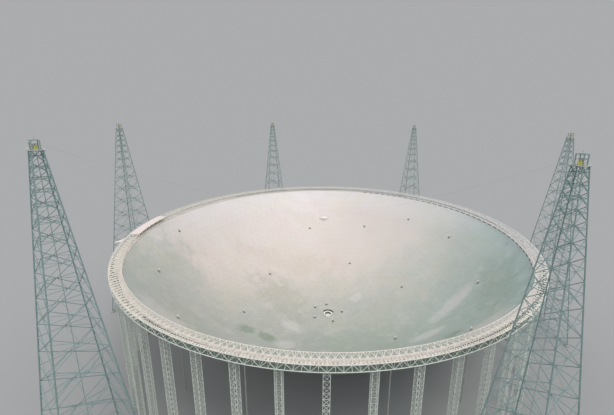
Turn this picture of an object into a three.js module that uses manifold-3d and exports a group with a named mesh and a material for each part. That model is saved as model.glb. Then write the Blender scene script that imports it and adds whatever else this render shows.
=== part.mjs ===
// Fixed spherical reflector radio telescope, 500 m across, as a scale model at 1:20.
// Millimetres, +Z up. The origin is on the level floor under the dish's axis, +Y runs to the
// far side, and a bearing is measured clockwise from +Y, seen from above.
import * as THREE from 'three';
import { mergeVertices } from 'three/addons/utils/BufferGeometryUtils.js';
import Module from 'manifold-3d';

const wasm = await Module();
wasm.setup();

// One real metre in model millimetres
const M = 1000 / 20;
const DEG = Math.PI / 180;
// Gap between pieces that rest on each other, in model millimetres
const SEAT = 0.3;

// Reflector: part of a sphere, open at its lowest point, in an inner and an outer belt of sectors
const SPHERE_RADIUS = 300 * M;
const APERTURE_RADIUS = 250 * M;
const VERTEX_HEIGHT = 5 * M;
const SHELL_THICKNESS = 0.4 * M;
const OPENING_RADIUS = 9.4 * M;
const INNER_SECTORS = 5;
const OUTER_SECTORS = 10;
const SHELL_RINGS = 6;
const INNER_RINGS = 2;
const FIRST_SECTOR_BEARING = 43.2;
const RIM_DEPTH = 0.9 * M;
const RIM_WIDTH = 0.5 * M;
const SPHERE_CENTRE = VERTEX_HEIGHT + SPHERE_RADIUS;

// Ring girder and the columns under it
const COLUMN_COUNT = 50;
const COLUMN_STEP = 360 / COLUMN_COUNT;
const GIRDER_SEGMENTS = 10;
const GIRDER_WIDTH = 11.05 * M;
const GIRDER_HEIGHT = 5.5 * M;
const CHORD = 0.7 * M;
const DECK_WIDTH = 5.2 * M;
const DECK_THICKNESS = 0.5 * M;
const BRACE = 0.42 * M;
const COLUMN_SPAN = 5 * M;
const COLUMN_LEG = 0.5 * M;
const HEAD_PLATE_WIDTH = 5.8 * M;
const OUTER_DIAGONALS = 4;
const INNER_DIAGONALS = 1;
const CHORD_RADIUS_IN = APERTURE_RADIUS + CHORD / 2 + SEAT;
const CHORD_RADIUS_OUT = CHORD_RADIUS_IN + GIRDER_WIDTH;
const GIRDER_MIDDLE = (CHORD_RADIUS_IN + CHORD_RADIUS_OUT) / 2;
const EDGE_HEIGHT = SPHERE_CENTRE - Math.sqrt(SPHERE_RADIUS ** 2 - APERTURE_RADIUS ** 2);
const GIRDER_TOP = EDGE_HEIGHT + GIRDER_HEIGHT;

// Six lattice towers on a circle of 600 m
const TOWER_COUNT = 6;
const TOWER_CIRCLE = 300 * M;
const FIRST_TOWER_BEARING = -144.85;
const TOWER_TOP_WIDTH = 6.3 * M;
const TOWER_TAPER = 0.19;
const TOWER_HEIGHT = GIRDER_TOP + 131 * M;
const TOWER_TIERS = 7;
const TIER_GROWTH = 1.16;
const TOWER_WALL = 0.4 * M;
const LEG_FLANGE = 0.6 * M;
const LEG_FLANGE_GROWTH = 0.004;
const TOWER_BRACE = 0.45 * M;
const TOWER_BRACE_GROWTH = 0.0015;
const TOWER_FOOT_SPAN = 4.6 * M;
const TOWER_FOOT_HEIGHT = 1.6 * M;

// Tower head: a balcony, an open frame and the sheave of the suspension cable
const BALCONY_SPAN = 7.2 * M;
const BALCONY_THICKNESS = 0.4 * M;
const HEAD_SPAN = 4.3 * M;
const HEAD_HEIGHT = 5.9 * M;
const HEAD_POST = 0.5 * M;
const SHEAVE_RADIUS = 1.2 * M;
const SHEAVE_WIDTH = 0.7 * M;
const SHEAVE_SIDES = 12;
const SHEAVE_AXLE_HEIGHT = 2.6 * M;
const BEARING_SPAN = 2.4 * M;
const MAST_HEIGHT = 2.2 * M;
const MAST_WIDTH = 0.25 * M;

// Feed cabin on its star frame, and its six suspension cables
const CABIN_X = -8.7 * M;
const CABIN_Y = 27.5 * M;
const CABIN_HEIGHT = GIRDER_TOP + 2.95 * M;
const STAR_RADIUS = 6.5 * M;
const STAR_HEIGHT = 2.2 * M;
const STAR_BAR = 0.45 * M;
const STAR_POST_INSET = 0.72 * M;
const DRUM_RADIUS = 4.4 * M;
const DRUM_HEIGHT = 3 * M;
const ROOF_RISE = 1.5 * M;
const RECEIVER_RADIUS = 1.6 * M;
const RECEIVER_DROP = 2.6 * M;
const CABLE_DIAMETER = 0.046 * M;
const CABLE_SAG = 4 * M;
const CABLE_STEPS = 6;
const LUG = 0.6 * M;
const DRUM_SIDES = 16;
// Slope in degrees at which a cable leaves its sheave
const CABLE_SLOPE = 27;

// Docking platform in the opening at the dish's lowest point
const DOCK_RADIUS = 6.6 * M;
const DOCK_INNER_RADIUS = 4.6 * M;
const DOCK_TOP = 4.6 * M;
const DOCK_THICKNESS = 0.6 * M;
const DOCK_LEG = 0.5 * M;
const DOCK_LEGS = 6;
const DOCK_BEAM = 0.7 * M;
const DOCK_SIDES = 24;

const colours = {
  panel: new THREE.MeshStandardMaterial({ color: 0xb3aca6, roughness: 0.55, metalness: 0.35 }),
  girder: new THREE.MeshStandardMaterial({ color: 0xe6e0d8, roughness: 0.5, metalness: 0.2 }),
  tower: new THREE.MeshStandardMaterial({ color: 0x9fb1ad, roughness: 0.5, metalness: 0.4 }),
  cabin: new THREE.MeshStandardMaterial({ color: 0xf0f0ee, roughness: 0.4, metalness: 0.1 }),
  cable: new THREE.MeshStandardMaterial({ color: 0x5a5d60, roughness: 0.45, metalness: 0.8 }),
  receiver: new THREE.MeshStandardMaterial({ color: 0x9a9c9e, roughness: 0.5, metalness: 0.2 }),
};

const telescope = new THREE.Group();

// Joining and cutting

function solidOf(geometry) {
  const bare = geometry.index ? geometry.clone() : mergeVertices(geometry);
  for (const name of Object.keys(bare.attributes)) {
    if (name !== 'position') {
      bare.deleteAttribute(name);
    }
  }
  const merged = mergeVertices(bare, 1e-3);
  return new wasm.Manifold(new wasm.Mesh({
    numProp: 3,
    vertProperties: new Float32Array(merged.attributes.position.array),
    triVerts: new Uint32Array(merged.index.array),
  }));
}

function geometryOf(solid) {
  const mesh = solid.getMesh();
  const geometry = new THREE.BufferGeometry();
  geometry.setAttribute('position', new THREE.BufferAttribute(mesh.vertProperties, 3));
  geometry.setIndex(new THREE.BufferAttribute(mesh.triVerts, 1));
  geometry.computeVertexNormals();
  return geometry;
}

function join(geometries) {
  return geometries.map(solidOf).reduce((whole, next) => whole.add(next));
}

function cut(whole, geometries) {
  return geometries.map(solidOf).reduce((rest, tool) => rest.subtract(tool), whole);
}

// Basic shapes

function box(width, depth, height, x, y, bottom) {
  return new THREE.BoxGeometry(width, depth, height).translate(x, y, bottom + height / 2);
}

// A straight bar from one point to another, with a square or triangular section
function bar(from, to, width, sides = 4) {
  const along = new THREE.Vector3().subVectors(to, from);
  const geometry = new THREE.CylinderGeometry(
    width / Math.SQRT2, width / Math.SQRT2, along.length(), sides, 1,
  );
  geometry.rotateY(Math.PI / sides);
  const turn = new THREE.Quaternion().setFromUnitVectors(
    new THREE.Vector3(0, 1, 0), along.clone().normalize(),
  );
  const middle = new THREE.Vector3().addVectors(from, to).multiplyScalar(0.5);
  return geometry.applyQuaternion(turn).translate(middle.x, middle.y, middle.z);
}

// A point at a bearing, radius and height
function place(bearing, radius, height) {
  return new THREE.Vector3(
    radius * Math.sin(bearing * DEG), radius * Math.cos(bearing * DEG), height,
  );
}

function extruded(points, height, bottom) {
  const shape = new THREE.Shape(points.map((point) => new THREE.Vector2(point.x, point.y)));
  return new THREE.ExtrudeGeometry(shape, { depth: height, bevelEnabled: false })
    .translate(0, 0, bottom);
}

function turned(profile, segments, start = 0) {
  const points = profile.map(([radius, height]) => new THREE.Vector2(radius, height));
  return new THREE.LatheGeometry(points, segments, start).rotateX(Math.PI / 2);
}

function add(name, geometry, material, bearing = 0, x = 0, y = 0) {
  const mesh = new THREE.Mesh(geometry, material);
  mesh.name = name;
  mesh.rotation.z = -bearing * DEG;
  mesh.position.set(x, y, 0);
  telescope.add(mesh);
  return mesh;
}

// Reflector: belts of a shell of revolution, divided into sectors that meet with a fine gap

function beltProfile(firstRing, lastRing) {
  const outer = SPHERE_RADIUS + SHELL_THICKNESS;
  const dip = (radius, sphere) => SPHERE_CENTRE - Math.sqrt(sphere ** 2 - radius ** 2);
  const start = Math.asin(OPENING_RADIUS / SPHERE_RADIUS);
  const end = Math.asin(APERTURE_RADIUS / SPHERE_RADIUS);
  const radii = [];
  for (let i = firstRing; i <= lastRing; i += 1) {
    radii.push(SPHERE_RADIUS * Math.sin(start + (end - start) * (i / SHELL_RINGS)));
  }
  if (firstRing > 0) {
    radii[0] += SEAT;
  }
  const upper = radii.map((radius) => [radius, dip(radius, SPHERE_RADIUS)]);
  const lower = radii.map((radius) => [radius, dip(radius, outer)]);
  return [...lower, ...upper.reverse(), lower[0]];
}

// One sector of a belt, its middle at bearing 0 and its corners at multiples of the column step
function reflectorSector(firstRing, lastRing, count) {
  const half = 180 / count;
  const phase = (half % COLUMN_STEP) * DEG;
  const belt = solidOf(turned(beltProfile(firstRing, lastRing), COLUMN_COUNT, Math.PI + phase));
  const reach = 2 * APERTURE_RADIUS;
  const wedge = extruded([
    place(0, 0, 0),
    place(-half, reach, 0),
    place(0, reach / Math.cos(half * DEG), 0),
    place(half, reach, 0),
  ], GIRDER_TOP + GIRDER_HEIGHT, -GIRDER_HEIGHT).translate(0, SEAT / 2 / Math.sin(half * DEG), 0);
  return geometryOf(belt.intersect(solidOf(wedge)));
}

function addBelt(name, firstRing, lastRing, count) {
  const sector = reflectorSector(firstRing, lastRing, count);
  for (let i = 0; i < count; i += 1) {
    const bearing = FIRST_SECTOR_BEARING + ((i + 0.5) * 360) / count;
    add(`reflector_${name}_sector_${i + 1}`, sector, colours.panel, bearing);
  }
}

function addReflector() {
  addBelt('inner', 0, INNER_RINGS, INNER_SECTORS);
  addBelt('outer', INNER_RINGS, SHELL_RINGS, OUTER_SECTORS);
  const rimOuter = (OPENING_RADIUS - SEAT) * Math.cos((COLUMN_STEP / 2) * DEG);
  const bottom = VERTEX_HEIGHT - RIM_DEPTH / 2;
  add('reflector_opening_rim', turned([
    [rimOuter - RIM_WIDTH, bottom],
    [rimOuter, bottom],
    [rimOuter, bottom + RIM_DEPTH],
    [rimOuter - RIM_WIDTH, bottom + RIM_DEPTH],
    [rimOuter - RIM_WIDTH, bottom],
  ], COLUMN_COUNT / 2, Math.PI + (COLUMN_STEP / 2) * DEG), colours.girder);
}

// Ring girder: five columns to a segment, its ends in the middle of a bay

const HALF_SEGMENT = 180 / GIRDER_SEGMENTS;
const FLAT = Math.cos((COLUMN_STEP / 2) * DEG);
const COLUMNS_PER_SEGMENT = COLUMN_COUNT / GIRDER_SEGMENTS;
const COLUMN_BEARINGS = Array.from(
  { length: COLUMNS_PER_SEGMENT }, (_, i) => (i - (COLUMNS_PER_SEGMENT - 1) / 2) * COLUMN_STEP,
);

// A line in plan at a radius, with a corner at each column and its ends short of the next segment
function segmentLine(radius) {
  const side = (sign) => {
    const across = new THREE.Vector3(-sign * (SEAT / 2), radius * FLAT, 0);
    return across.applyAxisAngle(new THREE.Vector3(0, 0, 1), -sign * HALF_SEGMENT * DEG);
  };
  return [side(-1), ...COLUMN_BEARINGS.map((bearing) => place(bearing, radius, 0)), side(1)];
}

// A point on that line at a distance to one side of a column
function besideColumn(column, radius, distance) {
  const line = segmentLine(radius);
  const corner = line[column + 1];
  const next = line[column + 1 + Math.sign(distance)];
  const along = new THREE.Vector3().subVectors(next, corner).normalize();
  return corner.clone().addScaledVector(along, Math.abs(distance));
}

// One level of the girder in plan: two edge members, and a cross member over each column
function girderLevel(innerWidth, outerWidth, crossWidth, thickness, bottom) {
  const from = CHORD_RADIUS_IN - CHORD / 2 / FLAT;
  const to = CHORD_RADIUS_OUT + CHORD / 2 / FLAT;
  const shape = new THREE.Shape(
    [...segmentLine(from), ...segmentLine(to).reverse()].map(({ x, y }) => new THREE.Vector2(x, y)),
  );
  const near = from + innerWidth / FLAT;
  const far = to - outerWidth / FLAT;
  for (let i = 0; i < COLUMNS_PER_SEGMENT - 1; i += 1) {
    shape.holes.push(new THREE.Path([
      besideColumn(i, near, crossWidth / 2),
      besideColumn(i + 1, near, -crossWidth / 2),
      besideColumn(i + 1, far, -crossWidth / 2),
      besideColumn(i, far, crossWidth / 2),
    ].map(({ x, y }) => new THREE.Vector2(x, y))));
  }
  const level = solidOf(new THREE.ExtrudeGeometry(shape, { depth: thickness, bevelEnabled: false })
    .translate(0, 0, bottom));
  const last = COLUMNS_PER_SEGMENT - 1;
  const pastEnd = 2 * GIRDER_WIDTH;
  const ends = [[0, -1], [last, 1]].map(([column, sign]) => extruded([
    besideColumn(column, near, sign * (crossWidth / 2)),
    besideColumn(column, near, sign * pastEnd),
    besideColumn(column, far, sign * pastEnd),
    besideColumn(column, far, sign * (crossWidth / 2)),
  ], 2 * thickness, bottom - thickness / 2));
  return ends.reduce((rest, end) => rest.subtract(solidOf(end)), level);
}

function columnLegs(bearing) {
  const half = COLUMN_SPAN / 2;
  const corners = [[-half, -half], [half, -half], [half, half], [-half, half]];
  return corners.map(([across, out]) => {
    const foot = new THREE.Vector3(across, GIRDER_MIDDLE + out, 0);
    const head = foot.clone().setZ(EDGE_HEIGHT);
    return bar(foot, head, COLUMN_LEG, 3).rotateZ(-bearing * DEG);
  });
}

// Diagonals of one bay of a girder face, zigzag from the lower edge to the upper one
function bayDiagonals(column, radius, count) {
  const bearing = COLUMN_BEARINGS[column];
  const from = place(bearing, radius, 0);
  const to = place(bearing + COLUMN_STEP, radius, 0);
  const along = new THREE.Vector3().subVectors(to, from).normalize();
  return Array.from({ length: count }, (_, i) => {
    const start = new THREE.Vector3().lerpVectors(from, to, i / count);
    const end = new THREE.Vector3().lerpVectors(from, to, (i + 1) / count);
    start.addScaledVector(along, BRACE).setZ(i % 2 ? GIRDER_TOP : EDGE_HEIGHT);
    end.addScaledVector(along, -BRACE).setZ(i % 2 ? EDGE_HEIGHT : GIRDER_TOP);
    return bar(start, end, BRACE, 3);
  });
}

function girderSegment() {
  let segment = girderLevel(CHORD, CHORD, HEAD_PLATE_WIDTH, CHORD, EDGE_HEIGHT - CHORD / 2)
    .add(girderLevel(CHORD, DECK_WIDTH, BRACE, DECK_THICKNESS, GIRDER_TOP - DECK_THICKNESS / 2));
  for (let column = 0; column < COLUMNS_PER_SEGMENT; column += 1) {
    const bars = columnLegs(COLUMN_BEARINGS[column]);
    if (column < COLUMNS_PER_SEGMENT - 1) {
      bars.push(...bayDiagonals(column, CHORD_RADIUS_OUT, OUTER_DIAGONALS));
      bars.push(...bayDiagonals(column, CHORD_RADIUS_IN, INNER_DIAGONALS));
    }
    segment = segment.add(join(bars));
  }
  return geometryOf(segment);
}

function addGirder() {
  const segment = girderSegment();
  for (let i = 0; i < GIRDER_SEGMENTS; i += 1) {
    const bearing = 180 + (i * 360) / GIRDER_SEGMENTS;
    add(`ring_girder_segment_${i + 1}`, segment, colours.girder, bearing);
  }
}

// Towers: a hollow tapering square with triangular windows, which leaves angle legs and bracing

function tierHeights() {
  const heights = [TOWER_HEIGHT];
  const first = (TOWER_HEIGHT * (TIER_GROWTH - 1)) / (TIER_GROWTH ** TOWER_TIERS - 1);
  for (let i = 0; i < TOWER_TIERS; i += 1) {
    heights.push(heights[i] - first * TIER_GROWTH ** i);
  }
  heights[TOWER_TIERS] = TOWER_FOOT_HEIGHT;
  return heights;
}

function towerHalfWidth(height) {
  return (TOWER_TOP_WIDTH + TOWER_TAPER * (TOWER_HEIGHT - height)) / 2;
}

// A triangle with each side moved inwards by its own distance
function insetTriangle(corners, insets) {
  const lines = corners.map((corner, i) => {
    const next = corners[(i + 1) % 3];
    const along = new THREE.Vector2().subVectors(next, corner).normalize();
    const inward = new THREE.Vector2(-along.y, along.x);
    return { point: corner.clone().addScaledVector(inward, insets[i]), along };
  });
  return lines.map((line, i) => {
    const before = lines[(i + 2) % 3];
    const apart = new THREE.Vector2().subVectors(line.point, before.point);
    const reach = apart.cross(line.along) / before.along.cross(line.along);
    return before.point.clone().addScaledVector(before.along, reach);
  });
}

// The two windows that leave one diagonal in a tier of a face
function tierWindows(low, high, rising) {
  const leg = LEG_FLANGE + LEG_FLANGE_GROWTH * (TOWER_HEIGHT - low);
  const brace = TOWER_BRACE + TOWER_BRACE_GROWTH * (TOWER_HEIGHT - low);
  const bottom = towerHalfWidth(low);
  const top = towerHalfWidth(high);
  const [a, b, c, d] = [[-bottom, low], [bottom, low], [top, high], [-top, high]]
    .map(([x, z]) => new THREE.Vector2(x, z));
  const half = brace / 2;
  if (rising) {
    return [
      insetTriangle([a, b, c], [half, leg, half]),
      insetTriangle([a, c, d], [half, half, leg]),
    ];
  }
  return [
    insetTriangle([a, b, d], [half, half, leg]),
    insetTriangle([b, c, d], [leg, half, half]),
  ];
}

function towerLattice() {
  const square = (height, wall) => towerHalfWidth(height) - wall;
  const frustum = (wall, low, high) => new THREE.CylinderGeometry(
    square(high, wall) * Math.SQRT2, square(low, wall) * Math.SQRT2, high - low, 4, 1,
  ).rotateY(Math.PI / 4).rotateX(Math.PI / 2).translate(0, 0, (low + high) / 2);
  const beyond = TOWER_FOOT_HEIGHT;
  let tower = solidOf(frustum(0, TOWER_FOOT_HEIGHT / 2, TOWER_HEIGHT))
    .subtract(solidOf(frustum(TOWER_WALL, -beyond, TOWER_HEIGHT + beyond)));
  const heights = tierHeights();
  const reach = 3 * towerHalfWidth(0);
  for (let i = 0; i < TOWER_TIERS; i += 1) {
    for (const window of tierWindows(heights[i + 1], heights[i], i % 2 === 0)) {
      const through = new THREE.ExtrudeGeometry(
        new THREE.Shape(window), { depth: reach, bevelEnabled: false },
      ).rotateX(Math.PI / 2).translate(0, reach / 2, 0);
      tower = cut(tower, [through, through.clone().rotateZ(Math.PI / 2)]);
    }
  }
  const footCentre = towerHalfWidth(0) - TOWER_FOOT_SPAN / 4;
  for (const [x, y] of [[-1, -1], [1, -1], [1, 1], [-1, 1]]) {
    tower = tower.add(solidOf(box(
      TOWER_FOOT_SPAN, TOWER_FOOT_SPAN, TOWER_FOOT_HEIGHT, x * footCentre, y * footCentre, 0,
    )));
  }
  return geometryOf(tower);
}

function towerHead() {
  const floor = TOWER_HEIGHT + SEAT;
  const deckTop = floor + BALCONY_THICKNESS;
  const top = deckTop + HEAD_HEIGHT;
  const post = HEAD_SPAN / 2 - HEAD_POST / 2;
  const axle = deckTop + SHEAVE_AXLE_HEIGHT;
  const inner = HEAD_SPAN - 2 * HEAD_POST;
  const cage = solidOf(box(HEAD_SPAN, HEAD_SPAN, HEAD_HEIGHT, 0, 0, deckTop));
  const pieces = [
    box(BALCONY_SPAN, BALCONY_SPAN, BALCONY_THICKNESS, 0, 0, floor),
    box(MAST_WIDTH, MAST_WIDTH, MAST_HEIGHT, post, post, top - HEAD_POST / 2),
  ];
  for (const side of [-1, 1]) {
    pieces.push(box(HEAD_POST, BEARING_SPAN, SHEAVE_AXLE_HEIGHT + HEAD_POST / 2,
      side * (SHEAVE_WIDTH / 2 + HEAD_POST / 2 - SEAT), 0, deckTop));
  }
  pieces.push(new THREE.CylinderGeometry(SHEAVE_RADIUS, SHEAVE_RADIUS, SHEAVE_WIDTH, SHEAVE_SIDES)
    .rotateZ(Math.PI / 2).translate(0, 0, axle));
  const open = cut(cage, [
    box(inner, inner, 2 * HEAD_HEIGHT, 0, 0, floor),
    box(inner, 2 * HEAD_SPAN, HEAD_HEIGHT - HEAD_POST, 0, 0, deckTop),
    box(2 * HEAD_SPAN, inner, HEAD_HEIGHT - HEAD_POST, 0, 0, deckTop),
  ]);
  return geometryOf(join(pieces).add(open));
}

function addTowers() {
  const lattice = towerLattice();
  const head = towerHead();
  for (let i = 0; i < TOWER_COUNT; i += 1) {
    const bearing = FIRST_TOWER_BEARING + (i * 360) / TOWER_COUNT;
    const centre = place(bearing, TOWER_CIRCLE, 0);
    add(`tower_${i + 1}_lattice`, lattice, colours.tower, bearing, centre.x, centre.y);
    add(`tower_${i + 1}_head`, head, colours.tower, bearing, centre.x, centre.y);
  }
}

// Feed cabin: a star frame with its lugs, the drum with its roof, and the receiver below

function starFrame() {
  const bottom = CABIN_HEIGHT - STAR_HEIGHT / 2;
  const bearings = Array.from(
    { length: TOWER_COUNT }, (_, i) => FIRST_TOWER_BEARING - (i * 360) / TOWER_COUNT,
  );
  const hexagon = (radius) => bearings.map((bearing) => place(bearing, radius, 0));
  const plate = (inside, low) => solidOf(extruded(hexagon(STAR_RADIUS), STAR_BAR, low))
    .subtract(solidOf(inside.translate(0, 0, low - STAR_BAR / 2)));
  const drumHole = turned([
    [0, 0],
    [DRUM_RADIUS + SEAT, 0],
    [DRUM_RADIUS + SEAT, 2 * STAR_BAR],
    [0, 2 * STAR_BAR],
  ], DRUM_SIDES, Math.PI);
  let frame = plate(drumHole, bottom - STAR_BAR / 2).add(
    plate(extruded(hexagon(STAR_RADIUS - STAR_BAR), 2 * STAR_BAR, 0), bottom + STAR_HEIGHT),
  );
  for (const bearing of bearings) {
    const post = box(STAR_BAR, STAR_BAR, STAR_HEIGHT, 0, STAR_RADIUS - STAR_POST_INSET, bottom);
    const lug = box(LUG, LUG, STAR_BAR, 0, STAR_RADIUS, bottom + STAR_HEIGHT);
    frame = frame.add(join([post, lug].map((piece) => piece.rotateZ(-bearing * DEG))));
  }
  return geometryOf(frame);
}

function addCabin() {
  const bottom = CABIN_HEIGHT - STAR_HEIGHT / 2;
  add('feed_cabin_star_frame', starFrame(), colours.cabin, 0, CABIN_X, CABIN_Y);
  add('feed_cabin_drum', turned([
    [0, bottom],
    [DRUM_RADIUS, bottom],
    [DRUM_RADIUS, bottom + DRUM_HEIGHT],
    [0, bottom + DRUM_HEIGHT + ROOF_RISE],
  ], DRUM_SIDES, Math.PI), colours.cabin, 0, CABIN_X, CABIN_Y);
  add('feed_cabin_receiver', turned([
    [0, bottom - SEAT - RECEIVER_DROP],
    [RECEIVER_RADIUS, bottom - SEAT - RECEIVER_DROP],
    [RECEIVER_RADIUS, bottom - SEAT],
    [0, bottom - SEAT],
  ], DRUM_SIDES, Math.PI), colours.receiver, 0, CABIN_X, CABIN_Y);
}

// Suspension cables: from a lug of the star frame up to the tower's sheave, with their sag

class HangingLine extends THREE.Curve {
  constructor(from, to, sag) {
    super();
    this.from = from;
    this.to = to;
    this.sag = sag;
  }

  getPoint(t, target = new THREE.Vector3()) {
    target.lerpVectors(this.from, this.to, t);
    target.z -= 4 * this.sag * t * (1 - t);
    return target;
  }
}

function addCables() {
  const radius = CABLE_DIAMETER / 2;
  const reach = SHEAVE_RADIUS + radius + SEAT;
  const deckTop = TOWER_HEIGHT + SEAT + BALCONY_THICKNESS;
  const section = new THREE.Shape([0, 72, 144, 216, 288].map((angle) => new THREE.Vector2(
    radius * Math.cos(angle * DEG), radius * Math.sin(angle * DEG),
  )));
  for (let i = 0; i < TOWER_COUNT; i += 1) {
    const bearing = FIRST_TOWER_BEARING + (i * 360) / TOWER_COUNT;
    const anchor = STAR_RADIUS + LUG / 2 + SEAT + radius * Math.sin(CABLE_SLOPE * DEG);
    const from = place(bearing, anchor, CABIN_HEIGHT + (STAR_HEIGHT + STAR_BAR) / 2);
    from.x += CABIN_X;
    from.y += CABIN_Y;
    const to = place(bearing, TOWER_CIRCLE - reach * Math.sin(CABLE_SLOPE * DEG),
      deckTop + SHEAVE_AXLE_HEIGHT + reach * Math.cos(CABLE_SLOPE * DEG));
    const path = new HangingLine(from, to, CABLE_SAG);
    add(`suspension_cable_${i + 1}`, new THREE.ExtrudeGeometry(
      section, { steps: CABLE_STEPS, bevelEnabled: false, extrudePath: path },
    ), colours.cable);
  }
}

// Docking platform: a ring deck on legs, in the opening at the dish's lowest point

function addDock() {
  const under = DOCK_TOP - DOCK_THICKNESS;
  add('docking_platform_deck', turned([
    [DOCK_INNER_RADIUS, under],
    [DOCK_RADIUS, under],
    [DOCK_RADIUS, DOCK_TOP],
    [DOCK_INNER_RADIUS, DOCK_TOP],
    [DOCK_INNER_RADIUS, under],
  ], DOCK_SIDES, Math.PI), colours.cabin);
  const middle = (DOCK_RADIUS + DOCK_INNER_RADIUS) / 2;
  const half = DOCK_BEAM / 2;
  const ring = turned([
    [middle - half, under - SEAT - DOCK_BEAM],
    [middle + half, under - SEAT - DOCK_BEAM],
    [middle + half, under - SEAT],
    [middle - half, under - SEAT],
    [middle - half, under - SEAT - DOCK_BEAM],
  ], DOCK_SIDES / 2, Math.PI);
  const legs = Array.from({ length: DOCK_LEGS }, (_, i) => (
    box(DOCK_LEG, DOCK_LEG, under - SEAT - half, 0, middle * Math.cos((360 / DOCK_SIDES) * DEG), 0)
      .rotateZ(-((i + 0.5) * 360 * DEG) / DOCK_LEGS)
  ));
  add('docking_platform_trestle', geometryOf(join([ring, ...legs])), colours.girder);
}

telescope.name = 'radio_telescope';
addReflector();
addGirder();
addTowers();
addCabin();
addCables();
addDock();

export default telescope;
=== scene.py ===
"""Dresses the 1:20 model of a fixed spherical reflector radio telescope.

Everything is in metres in the frame's own axes: +Z up, +Y to the far side, and the origin on the
floor under the reflector's axis. A bearing is an angle in degrees clockwise from +Y, seen from
above, and most sizes are real metres times METRE.
"""

from __future__ import annotations

import logging
import math
from dataclasses import dataclass, field
from enum import Enum
from typing import Iterable, Sequence

import bpy
import numpy as np
from mathutils import Matrix
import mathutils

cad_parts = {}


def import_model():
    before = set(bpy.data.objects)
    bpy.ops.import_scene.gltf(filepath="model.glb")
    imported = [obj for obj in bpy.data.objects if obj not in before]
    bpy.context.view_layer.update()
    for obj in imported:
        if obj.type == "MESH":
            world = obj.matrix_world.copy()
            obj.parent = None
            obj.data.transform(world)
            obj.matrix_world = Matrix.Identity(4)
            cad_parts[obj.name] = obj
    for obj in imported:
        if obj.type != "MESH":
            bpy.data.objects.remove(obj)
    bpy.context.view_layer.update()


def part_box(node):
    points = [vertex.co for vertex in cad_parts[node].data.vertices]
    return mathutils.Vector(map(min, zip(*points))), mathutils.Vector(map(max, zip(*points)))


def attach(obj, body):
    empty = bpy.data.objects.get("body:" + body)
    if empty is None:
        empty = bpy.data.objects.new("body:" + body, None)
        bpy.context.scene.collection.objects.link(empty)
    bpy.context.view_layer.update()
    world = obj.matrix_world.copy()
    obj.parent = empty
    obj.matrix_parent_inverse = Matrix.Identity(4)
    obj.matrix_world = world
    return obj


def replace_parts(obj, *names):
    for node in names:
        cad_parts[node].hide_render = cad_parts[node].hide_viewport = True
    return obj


LOG = logging.getLogger("telescope")
METRE = 1 / 20
BODY = "root"
SEED = 7
TOWERS = 6
ENDLESS = 1e6
Array = np.ndarray
Colour = tuple[float, float, float]
Vector = tuple[float, float, float]
Pair = tuple[float, float]
Piece = bpy.types.Object
Socket = bpy.types.NodeSocket


# Geometry in arrays


def polar(bearing: Array | float, radius: Array | float, height: Array | float) -> Array:
    """Points at bearings, radii and heights: x = r sin b, y = r cos b, z = height.

    Args:
        bearing: Bearings in degrees.
        radius: Distances from the axis.
        height: Heights above the floor.

    Returns:
        The points, one row each.
    """
    angle, radius, height = np.broadcast_arrays(np.radians(bearing), radius, height)
    points = np.stack([radius * np.sin(angle), radius * np.cos(angle), height], axis=-1)
    return points.reshape(-1, 3)


def unit(vectors: Array) -> Array:
    """Each row divided by its own length."""
    return vectors / np.linalg.norm(vectors, axis=-1, keepdims=True)


def turned_to(points: Array, bearing: float, centre: Sequence[float] = (0, 0)) -> Array:
    """Points of a local frame, x across and y outwards, turned to a bearing and moved.

    Args:
        points: Local points, one row each.
        bearing: The bearing that local y takes, in degrees.
        centre: Where the local origin goes in plan.

    Returns:
        The points in the model's frame.
    """
    angle = math.radians(bearing)
    across, out, up = np.moveaxis(np.asarray(points, float), -1, 0)
    x = across * math.cos(angle) + out * math.sin(angle) + centre[0]
    y = -across * math.sin(angle) + out * math.cos(angle) + centre[1]
    return np.stack([x, y, up], axis=-1)


def onward(ring: Array) -> Array:
    """For each point of a ring, or of each of several rings, the next one round."""
    return np.roll(ring, -1, axis=-2)


def squares(half: Array | float, height: Array | float) -> Array:
    """The four corners of level squares, by square and by corner, from half their sides and heights."""
    half, height = np.broadcast_arrays(half, height)
    plan = half[..., None, None] * np.array([(-1, -1), (1, -1), (1, 1), (-1, 1)])
    level = np.broadcast_to(height[..., None, None], (*height.shape, 4, 1))
    return np.concatenate([plan, level], axis=-1)


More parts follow.
